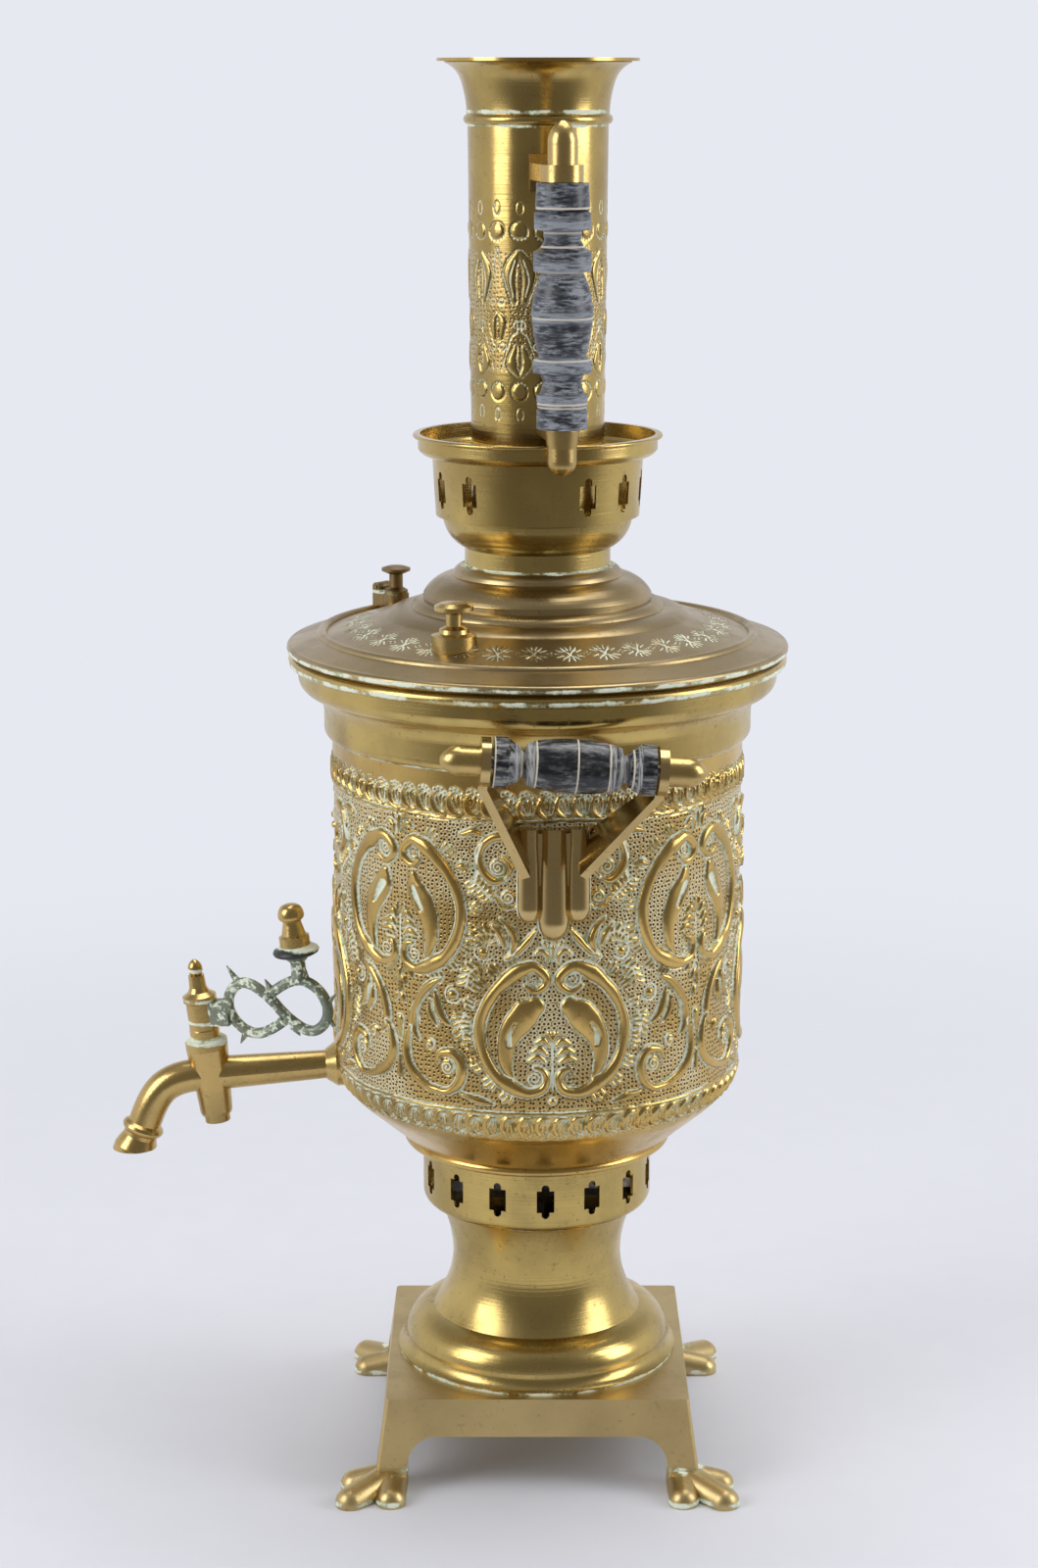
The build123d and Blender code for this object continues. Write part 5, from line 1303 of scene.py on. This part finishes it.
@dataclass(frozen=True)
class RootRibs:
    """The three rounded ribs at the foot of a side handle, sleeved over those of its bracket."""

    name: str
    turn: float
    top: float = 359.1
    flat: float = 105.0
    swell: float = 1.14
    taper: float = 0.14
    dome: float = 1.5
    columns: int = 72
    rows: tuple[Triple, ...] = ((0.0, 7.15, 57.0), (-11.8, 5.75, 48.0), (11.8, 5.75, 48.0))

    def build(self) -> None:
        """Build the ribs."""
        for number, (across, radius, length) in enumerate(self.rows):
            foot = self.top - length
            outline = [(0.0, foot)]
            for angle in range(-80, 1, 5):
                heading = math.radians(angle)
                rise = foot + self.dome * radius * (1.0 + math.sin(heading))
                outline.append((radius * self.swell * math.cos(heading), rise))
            for share in np.linspace(0.0, 1.0, 16)[1:]:
                reach = radius * (1.0 + self.taper * math.cos(math.pi / 2 * share) ** 1.6)
                outline.append((reach, foot + self.dome * radius + share * (length - self.dome * radius)))
            outline.append((0.0, self.top))
            line = divide(np.array(outline) * MM, lambda r, z: 0.0015)

            def chasing(turns: np.ndarray, r: np.ndarray, z: np.ndarray) -> Surface:
                """Salts in the furrows between the ribs."""
                furrow = np.exp(-(((np.abs(turns) - 1.32) / 0.17) ** 2)) * (r > 0.5 * MM)
                return Surface(np.zeros(r.shape), furrow, np.zeros(r.shape))

            place = Matrix.Rotation(math.radians(self.turn), 4, "Z")
            place = place @ Matrix.Translation((across * MM, -self.flat * MM, 0.0))
            made = turn_mesh(f"{self.name}_rib_{number}", line, self.columns, chasing, place, crease=60.0)
            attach(made, "base")
            made.data.materials.append(shared_finish(HANDLE_BRASS))
            log.info("%s: %d faces", made.name, len(made.data.polygons))


def node_axis(node: str, heading: Vector) -> Matrix:
    """Carry the Z axis onto the long axis of a turned node, through the middle of its box."""
    low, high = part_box(node)
    turned = Vector((0, 0, 1)).rotation_difference(heading.normalized())
    return Matrix.Translation((low + high) / 2) @ turned.to_matrix().to_4x4()


# --- Finishes of this samovar ---------------------------------------------------------------------------
LID_BRASS = Brass(
    "lid_brass", bright=(0.46, 0.345, 0.165), dull=(0.31, 0.235, 0.125), stain=(0.185, 0.125, 0.065),
    age=0.65, gloss=0.27, tarnish_gloss=0.42, deposit=Deposit.CHASED,
    seams=((0.4300, 0.0020), (0.4722, 0.0010)), lathe_marks=0.25,
)
CHIMNEY_BRASS = Brass(
    "chimney_brass", bright=(0.62, 0.45, 0.145), dull=(0.38, 0.275, 0.10), stain=(0.15, 0.08, 0.028),
    age=0.85, gloss=0.15, tarnish_gloss=0.30, deposit=Deposit.CHASED,
    seams=((0.6903, 0.0016), (0.6968, 0.0018)), punched_radius=0.034, lathe_marks=0.3,
)
SPUN_BRASS = Brass(
    "spun_brass", bright=(0.62, 0.455, 0.15), dull=(0.42, 0.31, 0.115), stain=(0.19, 0.105, 0.035),
    age=0.7, gloss=0.18, tarnish_gloss=0.34, deposit=Deposit.SEAMS,
    seams=((0.1330, 0.0018), (0.1662, 0.0022), (0.4235, 0.0022), (0.4722, 0.0012),
           (0.0505, 0.0018), (0.3850, 0.0016)),
    lathe_marks=0.5,
)
CAST_BRASS = Brass(
    "cast_brass", bright=(0.62, 0.47, 0.215), dull=(0.50, 0.38, 0.18), stain=(0.30, 0.20, 0.09),
    age=0.4, gloss=0.36, tarnish_gloss=0.50, deposit=Deposit.SEAMS,
    seams=((0.0130, 0.0030), (0.0020, 0.0025)), grain=0.6,
)
TURNED_BRASS = Brass(
    "turned_brass", bright=(0.62, 0.44, 0.16), dull=(0.45, 0.33, 0.14), stain=(0.24, 0.145, 0.05),
    age=0.55, gloss=0.24, tarnish_gloss=0.42, grain=0.3,
)
OLD_CASTING = Brass(
    "old_casting", bright=(0.36, 0.37, 0.27), dull=(0.22, 0.25, 0.20), stain=(0.10, 0.10, 0.07),
    age=0.8, gloss=0.36, tarnish_gloss=0.56, deposit=Deposit.CLOUDS, grain=1.6,
)
FIRE_BRASS = Brass(
    "fire_tube_brass", bright=(0.40, 0.30, 0.17), dull=(0.28, 0.21, 0.13), stain=(0.12, 0.08, 0.05),
    age=0.8, gloss=0.42, tarnish_gloss=0.60,
)
GRATE_IRON = Plain("grate_iron", (0.10, 0.09, 0.085), (0.20, 0.12, 0.08), 0.7, 0.55, 0.004)
STEEL = Plain("steel_fastener", (0.42, 0.40, 0.37), (0.26, 0.22, 0.18), 1.0, 0.35, 0.003)
BLACK_FIBRE = Plain(
    "black_fibre", (0.015, 0.015, 0.016), (0.035, 0.035, 0.037), 0.0, 0.30, 0.002, powder=1.3,
    powder_level=0.2813
)
SEAL_RUBBER = Plain("seal_rubber", (0.06, 0.055, 0.05), (0.10, 0.09, 0.08), 0.0, 0.6, 0.002)
SIDE_LACQUER = Lacquer(
    "side_lacquer", coat=(0.008, 0.009, 0.012), worn=(0.34, 0.34, 0.33), filler=(0.60, 0.54, 0.42),
    wear=0.7, gloss=0.13, along=(110.0, 420.0, 420.0), across=(1300.0, 90.0, 90.0),
)
FLUE_LACQUER = Lacquer(
    "flue_lacquer", coat=(0.020, 0.022, 0.028), worn=(0.25, 0.27, 0.30), filler=(0.56, 0.51, 0.44),
    wear=1.3, gloss=0.30, along=(150.0, 150.0, 800.0), across=(90.0, 90.0, 1300.0),
)
HANDLE_BRASS = Brass(
    "handle_brass", bright=(0.60, 0.44, 0.19), dull=(0.46, 0.34, 0.155), stain=(0.26, 0.16, 0.06),
    age=0.5, gloss=0.15, tarnish_gloss=0.32, deposit=Deposit.CHASED,
)
TAP_BRASS = Brass(
    "tap_brass", bright=(0.60, 0.42, 0.155), dull=(0.44, 0.32, 0.13), stain=(0.24, 0.145, 0.05),
    age=0.55, gloss=0.24, tarnish_gloss=0.42, deposit=Deposit.SEAMS,
    seams=((0.2235, 0.0032), (0.2330, 0.0018), (0.2450, 0.0018), (0.2605, 0.0016)), grain=0.3,
)
VENT_BRASS = Brass(
    "vent_brass", bright=(0.34, 0.235, 0.10), dull=(0.22, 0.155, 0.075), stain=(0.10, 0.07, 0.04),
    age=0.8, gloss=0.30, tarnish_gloss=0.50, deposit=Deposit.SEAMS, seams=((0.4462, 0.0016),),
    grain=0.3,
)
NODE_FINISH: dict[str, Brass] = {
    "vent_cap": VENT_BRASS,
    "vent_seat": VENT_BRASS,
    "vent_pin": VENT_BRASS,
    "front_bracket": HANDLE_BRASS,
    "rear_bracket": HANDLE_BRASS,
    "tap_body": TAP_BRASS,
    "tap_plug": TAP_BRASS,
    "plug_nut": TAP_BRASS,
}
SLOT_FINISH: dict[str, Brass | Plain] = {
    "spun_brass": SPUN_BRASS,
    "chimney_brass": CHIMNEY_BRASS,
    "cast_brass": CAST_BRASS,
    "turned_brass": TURNED_BRASS,
    "patinated_casting": OLD_CASTING,
    "fire_tube_brass": FIRE_BRASS,
    "grate_iron": GRATE_IRON,
    "steel_fastener": STEEL,
    "black_fibre": BLACK_FIBRE,
    "seal_rubber": SEAL_RUBBER,
}


@cache
def shared_finish(finish: Brass | Plain) -> bpy.types.Material:
    """Return a finish's material, built the first time it is asked for."""
    return finish.material()


class CarriedNodes:
    """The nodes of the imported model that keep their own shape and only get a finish."""

    def dress(self) -> None:
        """Give every shown node its own finish or that of its slot."""
        slots = {part["node"]: part["material_slot"] for part in frame["record"]["subparts"]}
        for name, piece in frame["nodes"].items():
            finish = NODE_FINISH.get(name) or SLOT_FINISH.get(slots[name])
            if piece.hide_render or finish is None:
                continue
            for place in piece.material_slots:
                place.material = shared_finish(finish)
            log.info("dressed %s in %s", name, finish.name)


# --- Studio ---------------------------------------------------------------------------------------------
@dataclass(frozen=True)
class Studio:
    """A pale floor, soft lamps on both sides, and the camera."""

    eye: Triple = (-0.1201, -1.5815, 0.716)
    heading: Point = (0.0698, 0.9976)
    pitch: float = 12.76
    lens: float = 72.25
    sensor: float = 36.0
    middle: Triple = (0.0, 0.0, 0.33)
    floor_half: float = 6.0
    pale: Colour = (0.80, 0.815, 0.885)

    def camera(self) -> None:
        """Place the camera."""
        made = bpy.data.cameras.new("camera")
        made.sensor_fit = "VERTICAL"
        made.sensor_height = self.sensor
        made.lens = self.lens
        eye = put("camera", made)
        fall = math.radians(self.pitch)
        way = Vector((self.heading[0] * math.cos(fall), self.heading[1] * math.cos(fall), -math.sin(fall)))
        eye.location = self.eye
        eye.rotation_euler = way.to_track_quat("-Z", "Y").to_euler()
        bpy.context.scene.camera = eye

    def lamp(self, name: str, spot: Triple, size: Point, watts: float) -> None:
        """Add one soft lamp that points at the middle of the object."""
        made = bpy.data.lights.new(name, "AREA")
        made.shape = "RECTANGLE"
        made.size, made.size_y = size
        made.energy = watts
        lamp = put(name, made)
        lamp.location = spot
        lamp.rotation_euler = (Vector(self.middle) - Vector(spot)).to_track_quat("-Z", "Y").to_euler()

    def world(self) -> None:
        """Light the room from all round, and show a pale background."""
        made = bpy.data.worlds.new("studio")
        made.use_nodes = True
        bpy.context.scene.world = made
        graph = Graph(made.node_tree)
        made.node_tree.nodes.clear()
        way = graph.add("ShaderNodeTexCoord").outputs["Generated"]
        parts = graph.add("ShaderNodeSeparateXYZ")
        graph.feed(parts.inputs[0], way)
        ahead = graph.spread(parts.outputs["Y"], 0.15, -0.75)
        high = graph.spread(parts.outputs["Z"], 0.25, 0.75)
        dim = graph.math("MAXIMUM", ahead, graph.math("MULTIPLY", high, 0.75))
        room = graph.mix(dim, self.pale, (0.20, 0.19, 0.18))
        path = graph.add("ShaderNodeLightPath")
        seen = graph.add("ShaderNodeBackground")
        graph.feed(seen.inputs["Color"], graph.mix(path.outputs["Is Camera Ray"], room, self.pale))
        light = graph.add("ShaderNodeBackground")
        light.inputs["Color"].default_value = (1.0, 1.0, 1.0, 1.0)
        light.inputs["Strength"].default_value = 0.55
        show = graph.math("MAXIMUM", path.outputs["Is Camera Ray"], path.outputs["Is Glossy Ray"])
        show = graph.math("MAXIMUM", show, path.outputs["Is Transmission Ray"])
        out = graph.add("ShaderNodeOutputWorld")
        graph.feed(out.inputs["Surface"], graph.blend(show, light.outputs[0], seen.outputs[0]))

    def floor(self) -> None:
        """Lay the floor, which fades out for reflections far from the object."""
        mesh = bpy.data.meshes.new("floor")
        half = self.floor_half
        corners = [(-half, -half, 0), (half, -half, 0), (half, half, 0), (-half, half, 0)]
        mesh.from_pydata(corners, [], [(0, 1, 2, 3)])
        made = put("floor", mesh)
        finish, graph, shader = Finish("floor_paper").start()
        spot = graph.place()
        speck = graph.noise(spot, 30.0, 3.0)
        tone = graph.mix(speck, (0.655, 0.665, 0.725), (0.685, 0.695, 0.755))
        graph.feed(shader.inputs["Base Color"], tone)
        shader.inputs["Roughness"].default_value = 0.7
        shader.inputs["Specular IOR Level"].default_value = 0.1
        path = graph.add("ShaderNodeLightPath")
        length = graph.add("ShaderNodeVectorMath", operation="LENGTH")
        graph.feed(length.inputs[0], spot)
        far = graph.spread(length.outputs["Value"], 0.5, 1.1)
        gone = graph.math("MULTIPLY", path.outputs["Is Glossy Ray"], far)
        clear = graph.add("ShaderNodeBsdfTransparent")
        near = graph.blend(gone, shader.outputs[0], clear.outputs[0])
        distant = graph.spread(length.outputs["Value"], 0.35, 1.25)
        glow = graph.add("ShaderNodeEmission")
        graph.feed(glow.inputs["Color"], self.pale)
        away = graph.math("MULTIPLY", path.outputs["Is Camera Ray"], distant)
        out = finish.node_tree.nodes["Material Output"]
        graph.feed(out.inputs["Surface"], graph.blend(away, near, glow.outputs[0]))
        mesh.materials.append(finish)

    def build(self) -> None:
        """Set up the whole studio."""
        bpy.context.scene.view_settings.view_transform = "Standard"
        self.camera()
        self.world()
        self.floor()
        self.lamp("left_softbox", (-1.6, -0.7, 1.1), (0.9, 1.3), 16.0)
        self.lamp("right_softbox", (1.7, -0.5, 1.0), (0.8, 1.3), 14.0)
        self.lamp("top_softbox", (0.2, 0.3, 2.0), (1.4, 1.2), 16.0)
        log.info("studio is set")


def grips() -> tuple[Grip, ...]:
    """The grips of the two side handles and of the chimney."""
    tilt = math.radians(4.0)
    front = Grip(
        "front_grip",
        "front_grip_body",
        (math.cos(tilt), 0.0, -math.sin(tilt)),
        grooves=(0.515, 0.262, 0.715, 0.175, 0.862, 0.005),
        groove_width=0.0005,
        rubbed=((0.155, 0.035), (0.225, 0.035), (0.735, 0.02), (0.80, 0.04), (0.90, 0.015)),
        finish=SIDE_LACQUER,
    )
    flue = Grip(
        "chimney_grip",
        "chimney_grip_body",
        (0.0, 0.0, 1.0),
        grooves=(0.455, 0.285, 0.64, 0.90, 0.105, 0.09, 0.745, 0.80),
        groove_width=0.0006,
        rubbed=((0.27, 0.04), (0.655, 0.04), (0.12, 0.03), (0.82, 0.05), (0.46, 0.03)),
        finish=FLUE_LACQUER,
    )
    return front, replace(front, node="rear_grip", body="rear_grip_body", heading=(1.0, 0.0, 0.0)), flue


def main() -> None:
    """Build every sub-assembly, then the studio."""
    logging.basicConfig(level=logging.INFO, format="%(name)s: %(message)s")
    Body().build()
    Lid().build()
    Chimney().build()
    for grip in grips():
        grip.build()
    RootRibs("front", 0.0).build()
    RootRibs("rear", 180.0).build()
    CarriedNodes().dress()
    Studio().build()


if __name__ == "__main__":
    main()
